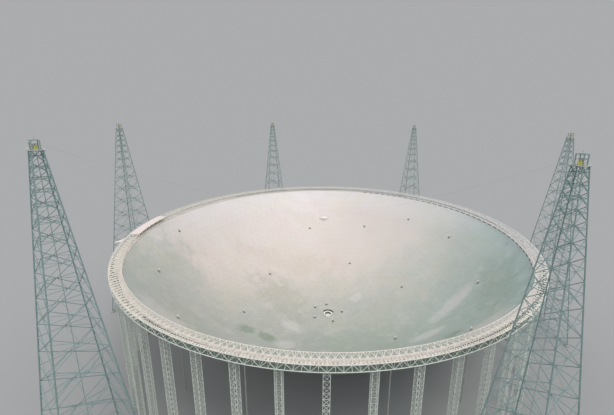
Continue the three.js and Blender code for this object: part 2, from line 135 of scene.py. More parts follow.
class Shape:
    """Gathers the vertices and faces of one piece, and makes its mesh at the end."""

    sharp_angle: float = 40

    def __init__(self) -> None:
        """Starts an empty shape."""
        self.vertices: list[Array] = []
        self.faces: list[Array] = []
        self.count = 0

    def put(self, vertices: Array, faces: Iterable[Array]) -> None:
        """Adds vertices with the faces that index them.

        Args:
            vertices: Points, one row each.
            faces: Index arrays, each with one row per face of the same number of corners.
        """
        self.vertices.append(np.asarray(vertices, float).reshape(-1, 3))
        self.faces.extend(np.asarray(face) + self.count for face in faces)
        self.count += len(self.vertices[-1])

    def bars(self, starts: Array, ends: Array, width: Array | float, sides: int = 4) -> None:
        """Adds straight bars of a regular section.

        Corner k of a section is at the angle 2 pi (k + 1/2) / sides round the bar's own line,
        and the section's flats are the bar's width apart.

        Args:
            starts: First ends, one row each.
            ends: Second ends, one row each.
            width: Width across the flats, one for all or one for each bar.
            sides: Number of sides of the section.
        """
        starts, ends = np.broadcast_arrays(np.atleast_2d(starts), np.atleast_2d(ends))
        axis = unit(ends - starts)
        nearly_upright = 0.95
        upright = np.abs(axis[:, 2:]) > nearly_upright
        helper = np.where(upright, (1.0, 0.0, 0.0), (0.0, 0.0, 1.0))
        first = unit(np.cross(helper, axis))
        second = np.cross(axis, first)
        angle = 2 * math.pi * (np.arange(sides) + 0.5) / sides
        radius = np.broadcast_to(np.asarray(width) / 2 / math.cos(math.pi / sides), len(starts))
        ring = (np.cos(angle)[None, :, None] * first[:, None] +
                np.sin(angle)[None, :, None] * second[:, None]) * radius[:, None, None]
        points = np.concatenate([starts[:, None] + ring, ends[:, None] + ring], axis=1)
        base = 2 * sides * np.arange(len(starts))[:, None]
        k = np.arange(sides)
        n = (k + 1) % sides
        side = np.stack([k, n, n + sides, k + sides], axis=-1)
        self.put(points, [
            (base[:, None] + side).reshape(-1, 4), base + k[::-1], base + sides + k,
        ])

    def slabs(self, first: Array, second: Array) -> None:
        """Adds four-cornered slabs between two outlines each.

        Args:
            first: One outline of each slab, by slab and by corner.
            second: The outline on the other side, in the same order.
        """
        points = np.concatenate([first, second], axis=1)
        quads = np.array([[0, 1, 2, 3], [7, 6, 5, 4], [0, 4, 5, 1], [1, 5, 6, 2], [2, 6, 7, 3], [3, 7, 4, 0]])
        base = 8 * np.arange(len(points))[:, None, None]
        self.put(points, [(base + quads).reshape(-1, 4)])

    def boxes(self, centres: Array, sizes: Sequence[float], bearing: Array | float = 0) -> None:
        """Adds upright boxes, each turned to its own bearing.

        Args:
            centres: Middle points, one row each.
            sizes: Across, outwards and upwards sizes of every box.
            bearing: Bearing of the outward side, one for all or one for each box.
        """
        centres = np.atleast_2d(centres)
        angle = np.radians(np.broadcast_to(bearing, len(centres)))
        corner = np.array([[x, y, z] for z in (-1, 1) for x, y in ((-1, -1), (1, -1), (1, 1), (-1, 1))])
        local = corner * np.asarray(sizes) / 2
        x = local[:, 0] * np.cos(angle)[:, None] + local[:, 1] * np.sin(angle)[:, None]
        y = -local[:, 0] * np.sin(angle)[:, None] + local[:, 1] * np.cos(angle)[:, None]
        points = np.stack([x, y, np.broadcast_to(local[:, 2], x.shape)], axis=-1) + centres[:, None]
        quads = np.array([[3, 2, 1, 0], [4, 5, 6, 7], [0, 1, 5, 4], [1, 2, 6, 5], [2, 3, 7, 6],
                          [3, 0, 4, 7]])
        base = 8 * np.arange(len(centres))[:, None, None]
        self.put(points, [(base + quads).reshape(-1, 4)])

    def turned(self, profile: Sequence[Sequence[float]], sides: int, centre: Sequence[float] = (0, 0, 0),
               closed: bool = True, bearings: Pair | None = None) -> None:
        """Adds a surface of revolution about an upright axis.

        The surface is point(b, t) = centre + (r(t) sin b, r(t) cos b, z(t)), on a grid of
        bearings by profile points. The profile runs anticlockwise with r to the right.

        Args:
            profile: Radius and height of each profile point.
            sides: Number of steps round.
            centre: Where the axis stands and what height is zero.
            closed: Whether the profile ends where it starts. An open one gets flat ends.
            bearings: First and last bearing of a part turn, closed by flat faces.
        """
        profile = np.asarray(profile, float)
        steps, rows = (sides if bearings is None else sides + 1), len(profile)
        first, last = bearings or (0, 360 - 360 / sides)
        bearing = np.linspace(first, last, steps)
        points = polar(bearing[:, None], profile[None, :, 0], profile[None, :, 1]) + centre
        i = np.arange(steps if bearings is None else steps - 1)[:, None]
        j = np.arange(rows if closed else rows - 1)[None, :]
        a, b = i * rows, ((i + 1) % steps) * rows
        up = (j + 1) % rows
        quads = np.stack([a + j, a + up, b + up, b + j], axis=-1).reshape(-1, 4)
        faces = [quads]
        ring = np.arange(steps) * rows
        if bearings is not None:
            faces += [np.arange(rows)[None, ::-1], (steps - 1) * rows + np.arange(rows)[None]]
        elif not closed:
            faces += [ring[None, :], (ring + rows - 1)[None, ::-1]]
        self.put(points, faces)

    def tube(self, path: Array, width: float, sides: int = 8) -> None:
        """Adds a tube whose section is carried along a path.

        Each ring of the tube is the section turned square to the path there, with its first
        direction kept as level as the path allows.

        Args:
            path: Points along the middle, one row each.
            width: Diameter of the tube.
            sides: Number of sides of the section.
        """
        along = unit(np.gradient(path, axis=0))
        level = unit(np.cross((0.0, 0.0, 1.0), along))
        other = np.cross(along, level)
        angle = 2 * math.pi * np.arange(sides) / sides
        ring = (np.cos(angle)[None, :, None] * level[:, None] +
                np.sin(angle)[None, :, None] * other[:, None]) * (width / 2)
        points = path[:, None] + ring
        i = np.arange(len(path) - 1)[:, None] * sides
        k = np.arange(sides)[None]
        n = (k + 1) % sides
        quads = np.stack([i + k, i + n, i + n + sides, i + k + sides], axis=-1).reshape(-1, 4)
        last = (len(path) - 1) * sides
        self.put(points, [quads, np.arange(sides)[None, ::-1], last + np.arange(sides)[None]])

    def build(self, name: str, finish: Palette, smooth: bool = False,
              tones: Array | None = None) -> Piece:
        """Makes the mesh object, dresses it and lets it ride with the model.

        Args:
            name: Name of the piece.
            finish: Its finish, which also names the record's slot that it stands for.
            smooth: Whether faces that meet at a small angle are shaded as one surface.
            tones: A value for each face, kept as the attribute "tone".

        Returns:
            The new object.
        """
        vertices = np.concatenate(self.vertices)
        loops = np.concatenate([face.reshape(-1) for face in self.faces])
        sizes = np.concatenate([np.full(len(face), face.shape[1]) for face in self.faces])
        mesh = bpy.data.meshes.new(name)
        mesh.vertices.add(len(vertices))
        mesh.vertices.foreach_set("co", vertices.astype(np.float32).ravel())
        mesh.loops.add(len(loops))
        mesh.loops.foreach_set("vertex_index", loops.astype(np.int32))
        mesh.polygons.add(len(sizes))
        mesh.polygons.foreach_set("loop_start", (np.cumsum(sizes) - sizes).astype(np.int32))
        mesh.polygons.foreach_set("use_smooth", np.full(len(sizes), smooth))
        mesh.update(calc_edges=True)
        mesh.validate()
        if smooth:
            mesh.set_sharp_from_angle(angle=math.radians(self.sharp_angle))
        if tones is not None:
            mesh.attributes.new("tone", "FLOAT", "FACE").data.foreach_set("value", tones.astype(np.float32))
        mesh.materials.append(finish.material)
        piece = bpy.data.objects.new(name, mesh)
        bpy.context.scene.collection.objects.link(piece)
        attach(piece, BODY)
        return piece


# Finishes


class NodeKit:
    """A material's node tree with short calls for what the finishes share."""

    def __init__(self, name: str) -> None:
        """Starts a material with its shader and object coordinates.

        Args:
            name: Name of the material.
        """
        self.material = bpy.data.materials.new(name)
        self.material.use_nodes = True
        self.tree = self.material.node_tree
        self.shader = self.tree.nodes["Principled BSDF"]
        self.place = self.tree.nodes.new("ShaderNodeTexCoord").outputs["Object"]

    def join(self, source: Socket, target: Socket) -> None:
        """Links two sockets."""
        self.tree.links.new(source, target)

    def noise(self, size: float, detail: float = 4, stretch: Vector = (1, 1, 1)) -> Socket:
        """Noise on object coordinates.

        Args:
            size: Typical size of a patch.
            detail: Octaves of finer noise.
            stretch: Factors on the coordinates, to draw the patches out.

        Returns:
            The noise value.
        """
        mapping = self.tree.nodes.new("ShaderNodeMapping")
        mapping.inputs["Scale"].default_value = stretch
        texture = self.tree.nodes.new("ShaderNodeTexNoise")
        texture.inputs["Scale"].default_value = 1 / size
        texture.inputs["Detail"].default_value = detail
        self.join(self.place, mapping.inputs["Vector"])
        self.join(mapping.outputs["Vector"], texture.inputs["Vector"])
        return texture.outputs[0]

    def along(self, direction: Vector) -> Socket:
        """How far a point lies along a direction: the dot product of its place and the direction.

        Args:
            direction: The direction, whose length is the number of units in a metre.

        Returns:
            The distance.
        """
        node = self.tree.nodes.new("ShaderNodeVectorMath")
        node.operation = "DOT_PRODUCT"
        node.inputs[1].default_value = direction
        self.join(self.place, node.inputs[0])
        return node.outputs["Value"]

    def reach(self, centre: Vector, radii: Vector, turn: float = 0) -> Socket:
        """Distance from a point, with each axis measured in its own unit.

        Args:
            centre: The point.
            radii: Length that counts as one along each axis, ENDLESS for an axis that doesn't count.
            turn: Angle in degrees by which the axes are turned, anticlockwise from above.

        Returns:
            The distance.
        """
        mapping = self.tree.nodes.new("ShaderNodeMapping")
        mapping.vector_type = "TEXTURE"
        mapping.inputs["Location"].default_value = centre
        mapping.inputs["Rotation"].default_value = (0, 0, math.radians(turn))
        mapping.inputs["Scale"].default_value = radii
        length = self.tree.nodes.new("ShaderNodeVectorMath")
        length.operation = "LENGTH"
        self.join(self.place, mapping.inputs["Vector"])
        self.join(mapping.outputs["Vector"], length.inputs[0])
        return length.outputs["Value"]

    def tinted(self, colour: Socket, tint: Colour | Socket, factor: float | Socket = 1.0) -> Socket:
        """A colour multiplied by a tint, as far as the factor says."""
        return self.blend(factor, colour, tint, "MULTIPLY")

    def combine(self, first: Socket, second: Socket, operation: str = "ADD") -> Socket:
        """Two values put together.

        Args:
            first: One value.
            second: The other value.
            operation: Kind of arithmetic.

        Returns:
            The result.
        """
        node = self.tree.nodes.new("ShaderNodeMath")
        node.operation = operation
        self.join(first, node.inputs[0])
        self.join(second, node.inputs[1])
        return node.outputs[0]

    def spread(self, value: Socket, low: float, high: float, to: Pair = (0, 1)) -> Socket:
        """A value taken from one range to another and held within it.

        Args:
            value: The socket to read.
            low: Value that becomes the first of the new range.
            high: Value that becomes the second of the new range.
            to: The new range.

        Returns:
            The new value.
        """
        node = self.tree.nodes.new("ShaderNodeMapRange")
        for name, number in zip(("From Min", "From Max", "To Min", "To Max"), (low, high, *to)):
            node.inputs[name].default_value = number
        self.join(value, node.inputs["Value"])
        return node.outputs["Result"]

    def blend(self, factor: float | Socket, first: Colour | Socket,
              second: Colour | Socket, mode: str = "MIX") -> Socket:
        """Two colours mixed by a factor.

        Args:
            factor: How much of the second colour shows, as a number or a socket.
            first: Colour or socket at factor 0.
            second: Colour or socket at factor 1.
            mode: Way of mixing.

        Returns:
            The mixed colour.
        """
        node = self.tree.nodes.new("ShaderNodeMix")
        node.data_type = "RGBA"
        node.blend_type = mode
        if isinstance(factor, float):
            node.inputs[0].default_value = factor
        else:
            self.join(factor, node.inputs[0])
        for socket, colour in ((node.inputs[6], first), (node.inputs[7], second)):
            if isinstance(colour, tuple):
                socket.default_value = (*colour, 1)
            else:
                self.join(colour, socket)
        return node.outputs[2]

    def ramp(self, value: Socket, stops: Sequence[tuple[float, Colour]]) -> Socket:
        """A colour that changes evenly from stop to stop.

        Args:
            value: The value to read.
            stops: Rising values with their colours.

        Returns:
            The colour.
        """
        first, last = stops[0][0], stops[-1][0]
        node = self.tree.nodes.new("ShaderNodeValToRGB")
        elements = node.color_ramp.elements
        for _ in stops[2:]:
            elements.new(0.5)
        for element, (at, colour) in zip(elements, stops):
            element.position = (at - first) / (last - first)
            element.color = (*colour, 1)
        self.join(self.spread(value, first, last), node.inputs[0])
        return node.outputs["Color"]

    def bump(self, height: Socket, distance: float, strength: float = 0.4) -> None:
        """Raises the surface by a value.

        Args:
            height: The value.
            distance: Height of a full step, in metres.
            strength: Share of it that shows.
        """
        node = self.tree.nodes.new("ShaderNodeBump")
        node.inputs["Strength"].default_value = strength
        node.inputs["Distance"].default_value = distance
        self.join(height, node.inputs["Height"])
        self.join(node.outputs["Normal"], self.shader.inputs["Normal"])

    def finish(self, colour: Socket, roughness: Socket, metallic: float) -> bpy.types.Material:
        """Sets the shader's main sockets.

        Args:
            colour: The base colour.
            roughness: The roughness.
            metallic: How much of a metal it is.

        Returns:
            The finished material.
        """
        self.join(colour, self.shader.inputs["Base Color"])
        self.join(roughness, self.shader.inputs["Roughness"])
        self.shader.inputs["Metallic"].default_value = metallic
        return self.material


@dataclass(frozen=True)
class PaintedSteel:
    """Paint on structural steel, with dull patches, grime drawn down by rain and an uneven coat."""

    name: str
    colour: Colour
    worn: Colour
    grime: Colour
    roughness: Pair = (0.42, 0.62)
    metallic: float = 0.0
    patch_size: float = 7 * METRE
    streak_size: float = 1.2 * METRE
    streak_stretch: Vector = (1, 1, 0.12)
    most_grime: float = 0.55
    coat_size: float = 0.12 * METRE
    coat_depth: float = 0.01 * METRE

    def painted_light(self, kit: NodeKit, colour: Socket) -> Socket:
        """Light or shade painted into the coat here and there: none, unless a paint says so."""
        return colour

    def build(self) -> bpy.types.Material:
        """Makes the material: worn patches over the paint, then rain streaks, then a fine bump, and any light
        or shade that the paint paints in.

        Returns:
            The material.
        """
        kit = NodeKit(self.name)
        patches = kit.noise(self.patch_size)
        streaks = kit.noise(self.streak_size, 3, self.streak_stretch)
        coat = kit.noise(self.coat_size, 2)
        colour = kit.blend(kit.spread(patches, 0.4, 0.7), self.colour, self.worn)
        colour = kit.blend(kit.spread(streaks, 0.56, 0.78, (0, self.most_grime)), colour, self.grime)
        kit.bump(coat, self.coat_depth)
        roughness = kit.spread(patches, 0.3, 0.7, self.roughness)
        return kit.finish(self.painted_light(kit, colour), roughness, self.metallic)


@dataclass(frozen=True)
class GirderPaint(PaintedSteel):
    """Cream paint with painted light: the cool tint of open shade below the ring and on its outer side, and a
    bluish-white light on the right.
    """

    open_shade_tint: Colour = (0.88, 0.99, 1.0)
    outer_side: float = 261.0 * METRE
    top: float = 144.3 * METRE
    underside: float = 138.8 * METRE
    band: float = 0.15 * METRE
    rightward: Vector = (1 / METRE, 0.35 / METRE, 0)
    right_side: Pair = (70, 240)
    right_light_tint: Colour = (0.97, 1.01, 1.09)

    def painted_light(self, kit: NodeKit, colour: Socket) -> Socket:
        """Paints the cool tint of open shade below the underside and beyond the outer side, and a
        bluish-white light to the right.

        Args:
            kit: The material's nodes.
            colour: The colour of the coat.

        Returns:
            The new colour.
        """
        height = kit.along((0, 0, 1))
        radius = kit.reach((0, 0, 0), (1, 1, ENDLESS))
        below = kit.spread(height, self.underside, self.underside - self.band)
        under_top = kit.spread(height, self.top, self.top - self.band)
        beyond = kit.spread(radius, self.outer_side, self.outer_side + self.band)
        # Painted shade: the cool, sky-lit look of the parts that stand in open shade.
        open_shade = kit.combine(below, kit.combine(under_top, beyond, "MULTIPLY"), "MAXIMUM")
        colour = kit.blend(open_shade, colour, kit.tinted(colour, self.open_shade_tint))
        # Painted light: a bluish-white cast over the right side.
        to_the_right = kit.spread(kit.along(self.rightward), *self.right_side)
        return kit.blend(to_the_right, colour, kit.tinted(colour, self.right_light_tint))


@dataclass(frozen=True)
class OpenGrating(PaintedSteel):
    """Dark grating, with painted shade that darkens it at the left and right, where more shade lies under it.
    """

    shaded: Colour = (0.25, 0.25, 0.25)
    side: float = 185 * METRE
    side_edge: Pair = (0.9, 1.1)

    def painted_light(self, kit: NodeKit, colour: Socket) -> Socket:
        """Paints shade on the coat beyond the given distance to the left and to the right."""
        away = kit.reach((0, 0, 0), (self.side, ENDLESS, ENDLESS))
        return kit.blend(kit.spread(away, *self.side_edge), colour, kit.tinted(colour, self.shaded))


class Mark(Enum):
    """What a mark on the bowl is, as its colour and how much of it shows at the most."""

    MOSS = ((0.17, 0.25, 0.18), 0.55)
    SHADE = ((0.31, 0.38, 0.33), 0.42)
    DULL = ((0.40, 0.40, 0.34), 0.42)
    WASHED = ((0.67, 0.66, 0.65), 0.5)
    RUSTY = ((0.63, 0.54, 0.46), 0.3)
    PALE = ((0.72, 0.66, 0.63), 0.5)
    SAGE = ((0.41, 0.47, 0.43), 0.42)


@dataclass(frozen=True)
class Blot:
    """A mark on the bowl: an ellipse in plan, in real metres, with its long side turned from +X."""

    mark: Mark
    middle: Pair
    half_sizes: Pair
    turn: float = 0


@dataclass(frozen=True)
class PanelSheet:
    """Perforated aluminium panels: pinkish cream on the far side, greenish and blotched on the near one, in
    part painted sheen and shade.
    """

    name: str
    # From far to near, in part painted light: a painted sheen makes the far side bright and pinkish, and
    # painted shade darkens the near side.
    tones: tuple[tuple[float, Colour], ...] = (
        (-115, (0.38, 0.42, 0.38)), (-10, (0.475, 0.485, 0.45)), (55, (0.59, 0.565, 0.525)),
        (110, (0.71, 0.645, 0.61)), (235, (0.80, 0.735, 0.725)),
    )
    green_side: Colour = (0.95, 1.10, 1.15)
    light: Colour = (0.76, 0.73, 0.70)
    yellowed: Colour = (1.0, 0.99, 0.945)
    pinked: Colour = (1.02, 0.985, 0.99)
    dimmed: Colour = (0.972, 0.975, 0.98)
    # Painted light near the rim, against the shade that the ring casts on it.
    painted_rim_light: Colour = (1.06, 1.10, 1.14)
    blots: tuple[Blot, ...] = (
        Blot(Mark.MOSS, (-102, -81), (14, 11)), Blot(Mark.MOSS, (-77, -84), (17, 11), -50),
        Blot(Mark.MOSS, (133, -134), (9, 8)), Blot(Mark.SHADE, (32, -76), (72, 34), 2),
        Blot(Mark.SHADE, (44, -112), (64, 22), 4), Blot(Mark.SHADE, (204, -80), (64, 22), 68),
        Blot(Mark.SAGE, (-206, -44), (64, 40), -78), Blot(Mark.PALE, (-141, -175), (66, 27), -39),
        Blot(Mark.PALE, (144, -171), (50, 20), 40),
        Blot(Mark.DULL, (-75, 26), (60, 34), -45), Blot(Mark.WASHED, (-50, -44), (19, 11), -38),
        Blot(Mark.WASHED, (46, 36), (13, 9), 30), Blot(Mark.WASHED, (-52, -96), (15, 12), 20),
        Blot(Mark.WASHED, (163, -57), (42, 12), 33), Blot(Mark.WASHED, (116, -106), (24, 9), 8),
        Blot(Mark.RUSTY, (-139, -33), (25, 6), -52), Blot(Mark.RUSTY, (142, -2), (20, 7), 84),
        Blot(Mark.RUSTY, (103, 58), (34, 12), -35), Blot(Mark.RUSTY, (-60, 108), (95, 26), 6),
    )
    blot_depth: float = 100.0
    wide_size: float = 70 * METRE
    blotch_size: float = 30 * METRE
    wisp_size: float = 16 * METRE
    hue_size: float = 52 * METRE
    side_reach: Pair = (40, 240)
    side_shift: Pair = (-12, 42)
    wide_shift: Pair = (-24, 24)
    blotch_shift: Pair = (-17, 17)
    far_to_near: Vector = (-0.25 / METRE, 1 / METRE, 0)
    left_to_right: Vector = (1 / METRE, -0.35 / METRE, 0)
    green_reach: Pair = (-60, 240)
    near_reach: Pair = (90, -30)
    rim_reach: Pair = (218, 243)
    most_shade: float = 0.3
    most_light: float = 0.17
    tone_step: float = 0.09
    hole_pitch: float = 0.35 * METRE
    hole_depth: float = 0.02 * METRE

    def marked(self, kit: NodeKit, colour: Socket, ragged: Socket) -> Socket:
        """Lays the blots over a colour, one kind after the other.

        A kind shows where the distance to the nearest of its blots, made ragged by noise, is
        below one.

        Args:
            kit: The material's nodes.
            colour: The colour underneath.
            ragged: Noise for the blots' edges.

        Returns:
            The new colour.
        """
        for mark in Mark:
            nearest = None
            for blot in (blot for blot in self.blots if blot.mark is mark):
                middle = (*(METRE * part for part in blot.middle), 0)
                radii = (*(METRE * half for half in blot.half_sizes), self.blot_depth)
                away = kit.reach(middle, radii, blot.turn)
                nearest = kit.combine(nearest, away, "MINIMUM") if nearest else away
            tint, most = mark.value
            away = kit.combine(nearest, kit.spread(ragged, 0.25, 0.75, (-0.5, 0.5)))
            colour = kit.blend(kit.spread(away, 1.15, 0.55, (0, most)), colour, tint)
        return colour

    def ground(self, kit: NodeKit, wide: Socket, blotches: Socket, wisps: Socket) -> Socket:
        """The sheet's tones from far to near, in part a painted sheen far off and painted shade near by,
        greener to the right, with blotches and wisps near by.

        Args:
            kit: The material's nodes.
            wide: Noise of the widest patches.
            blotches: Noise of the middle patches.
            wisps: Noise of the small patches.

        Returns:
            The colour.
        """
        away = kit.reach((0, 0, 0), (METRE, ENDLESS, ENDLESS))
        place = kit.combine(kit.along(self.far_to_near), kit.spread(away, *self.side_reach, self.side_shift))
        place = kit.combine(place, kit.spread(wide, 0.25, 0.75, self.wide_shift))
        place = kit.combine(place, kit.spread(blotches, 0.25, 0.75, self.blotch_shift))
        colour = kit.ramp(place, self.tones)
        right = kit.spread(kit.along(self.left_to_right), *self.green_reach)
        colour = kit.blend(right, colour, kit.blend(right, (1.0, 1.0, 1.0), self.green_side), "MULTIPLY")
        near = kit.spread(place, *self.near_reach, (0.1, 1))
        patchy = kit.combine(kit.spread(blotches, 0.52, 0.70, (0, self.most_shade)), near, "MULTIPLY")
        colour = kit.blend(patchy, colour, Mark.SHADE.value[0])
        patchy = kit.combine(kit.spread(wisps, 0.52, 0.74, (0, self.most_light)), near, "MULTIPLY")
        return kit.blend(patchy, colour, self.light)

    def clouded(self, kit: NodeKit, colour: Socket, wisps: Socket) -> Socket:
        """Tints a colour a little, yellow here, pink there and dull between the wisps.

        Args:
            kit: The material's nodes.
            colour: The colour.
            wisps: Noise of the small patches.

        Returns:
            The new colour.
        """
        hue = kit.noise(self.hue_size, 4)
        yellow, pink = (kit.blend(kit.spread(hue, *limits), (1.0, 1.0, 1.0), tint)
                        for limits, tint in (((0.5, 0.66), self.yellowed), ((0.5, 0.34), self.pinked)))
        cloudy = kit.blend(kit.spread(wisps, 0.3, 0.7), self.dimmed, (1.0, 1.0, 1.0))
        for tint in (yellow, pink, cloudy):
            colour = kit.tinted(colour, tint)
        return colour

    def build(self) -> bpy.types.Material:
        """Makes the material: tones from far to near, blotches, blots, a tone per panel and holes.

        The tone is read at y - x / 4 plus a share that grows towards the left and right edges,
        shifted to and fro by noise. Painted light, against the ring's shade, grows in over the last metres
        before the rim.

        Returns:
            The material.
        """
        kit = NodeKit(self.name)
        wide = kit.noise(self.wide_size, 5)
        blotches = kit.noise(self.blotch_size, 6)
        wisps = kit.noise(self.wisp_size, 6)
        colour = self.marked(kit, self.ground(kit, wide, blotches, wisps), wisps)
        colour = self.clouded(kit, colour, wisps)
        # Painted light near the rim, against the ring's shade.
        edge = kit.spread(kit.reach((0, 0, 0), (METRE, METRE, ENDLESS)), *self.rim_reach)
        colour = kit.tinted(colour, self.painted_rim_light, edge)
        tone = kit.tree.nodes.new("ShaderNodeAttribute")
        tone.attribute_name = "tone"
        lifted = kit.blend(kit.spread(tone.outputs["Fac"], -1, 1, (0, self.tone_step)), colour, self.light)
        holes = kit.tree.nodes.new("ShaderNodeTexVoronoi")
        holes.inputs["Scale"].default_value = 1 / self.hole_pitch
        holes.inputs["Randomness"].default_value = 0
        kit.join(kit.place, holes.inputs["Vector"])
        kit.bump(kit.spread(holes.outputs["Distance"], 0.2, 0.35), self.hole_depth, 0.2)
        return kit.finish(lifted, kit.spread(wisps, 0.3, 0.7, (0.5, 0.68)), 0.1)


@dataclass(frozen=True)
class WireRope:
    """Galvanised wire rope with bright and dull stretches and the fine grain of its strands."""

    name: str
    colour: Colour
    dull: Colour
    strand_size: float = 0.05 * METRE
    strand_depth: float = 0.01 * METRE
    patch_size: float = 3 * METRE

    def build(self) -> bpy.types.Material:
        """Makes the material from a fine and a coarse noise on object coordinates.

        Returns:
            The material.
        """
        kit = NodeKit(self.name)
        strands = kit.noise(self.strand_size, 2)
        patches = kit.noise(self.patch_size, 3)
        colour = kit.blend(kit.spread(patches, 0.35, 0.65), self.colour, self.dull)
        kit.bump(strands, self.strand_depth)
        return kit.finish(colour, kit.spread(strands, 0.3, 0.7, (0.3, 0.5)), 0.85)


@dataclass(frozen=True)
class Concrete:
    """Cast concrete with pale patches and pores."""

    name: str
    colour: Colour
    pale: Colour
    patch_size: float = 2 * METRE
    pore_size: float = 0.06 * METRE
    pore_depth: float = 0.02 * METRE

    def build(self) -> bpy.types.Material:
        """Makes the material from two sizes of noise and a pitted relief.

        Returns:
            The material.
        """
        kit = NodeKit(self.name)
        patches = kit.noise(self.patch_size, 6)
        pores = kit.noise(self.pore_size, 3)
        colour = kit.blend(kit.spread(patches, 0.35, 0.7), self.colour, self.pale)
        kit.bump(pores, self.pore_depth, 0.5)
        return kit.finish(colour, kit.spread(pores, 0.3, 0.7, (0.75, 0.95)), 0.0)


class Palette(Enum):
    """The finishes of the telescope, each with the record's slot that it stands for, if any."""

    GIRDER = (GirderPaint("girder_cream_paint", (0.90, 0.86, 0.79), (0.81, 0.77, 0.71),
                          (0.54, 0.50, 0.45)), "girder_paint")
    TOWER = (PaintedSteel("tower_pale_green_paint", (0.235, 0.35, 0.35), (0.30, 0.41, 0.405),
                          (0.14, 0.20, 0.195)), "tower_steel")
    CABIN = (PaintedSteel("cabin_white_paint", (0.95, 0.885, 0.875), (0.90, 0.84, 0.825),
                          (0.68, 0.63, 0.61)), "cabin_paint")
    WHITE = (PaintedSteel("fittings_white_paint", (0.90, 0.90, 0.88), (0.84, 0.84, 0.82),
                          (0.62, 0.61, 0.59)), "cabin_paint")
    RECEIVER = (PaintedSteel("receiver_grey_paint", (0.50, 0.51, 0.52), (0.44, 0.45, 0.46), (0.3, 0.3, 0.3)),
                "receiver_paint")
    PANEL = (PanelSheet("reflector_aluminium_sheet"), "reflector_panels")
    ROPE = (WireRope("suspension_wire_rope", (0.36, 0.37, 0.38), (0.22, 0.23, 0.24)), "cable_steel")
    NET = (PaintedSteel("net_galvanised_steel", (0.40, 0.41, 0.42), (0.33, 0.34, 0.34), (0.2, 0.2, 0.2),
                        metallic=0.6), "cable_steel")
    # Dark grating: painted shade darkens it at the sides, and on the ring it stands for the shade seen
    # through the lattice.
    SHADED_GRATING = (OpenGrating("grating_steel_painted_shade", (0.125, 0.175, 0.155), (0.17, 0.215, 0.19),
                           (0.06, 0.08, 0.075), (0.6, 0.8), 0.3), None)
    PLANK = (GirderPaint("walkway_primed_planks", (0.88, 0.78, 0.76), (0.81, 0.73, 0.71),
                         (0.57, 0.51, 0.49)), "girder_paint")
    YELLOW = (PaintedSteel("machinery_yellow_paint", (0.74, 0.70, 0.10), (0.66, 0.61, 0.14),
                           (0.36, 0.31, 0.08)), None)
    # Grey rubber of the pillars' collars, and also the colour of the strips of painted shadow at the bowl's
    # edge.
    COLLAR_AND_SHADOW = (PaintedSteel("rubber_collar_and_painted_shadow", (0.13, 0.13, 0.12), (0.18, 0.18, 0.16),
                           (0.08, 0.08, 0.07), (0.7, 0.9)), None)
    # Painted shade: the near-black of the shaded well under the opening.
    DARK = (PaintedSteel("painted_shade_black", (0.015, 0.017, 0.017), (0.03, 0.032, 0.03),
                         (0.01, 0.01, 0.01), (0.7, 0.9)), None)
    CONCRETE = (Concrete("cast_concrete", (0.40, 0.39, 0.37), (0.56, 0.55, 0.52)), None)

    @property
    def material(self) -> bpy.types.Material:
        """The finish's material, made when it is first asked for."""
        return bpy.data.materials.get(self.value[0].name) or self.value[0].build()

    @property
    def slot(self) -> str | None:
        """The record's slot for the finish."""
        return self.value[1]


# The bowl


@dataclass
class Sphere:
    """The sphere that the reflector follows."""

    radius: float = 300 * METRE
    aperture: float = 250 * METRE
    vertex_height: float = 5 * METRE

    @property
    def centre_height(self) -> float:
        """Height of the sphere's centre."""
        return self.vertex_height + self.radius

    @property
    def edge_height(self) -> float:
        """Height of the bowl's edge."""
        return float(self.height(self.aperture))

    def height(self, radius: Array | float) -> Array:
        """Height of the surface at a distance from the axis: centre - sqrt(R^2 - r^2)."""
        return self.centre_height - np.sqrt(self.radius ** 2 - np.asarray(radius) ** 2)

    def points(self, directions: Array, depth: float = 0) -> Array:
        """Points in given directions from the centre, on the surface or at a depth behind it."""
        return directions * (self.radius + depth) + (0, 0, self.centre_height)


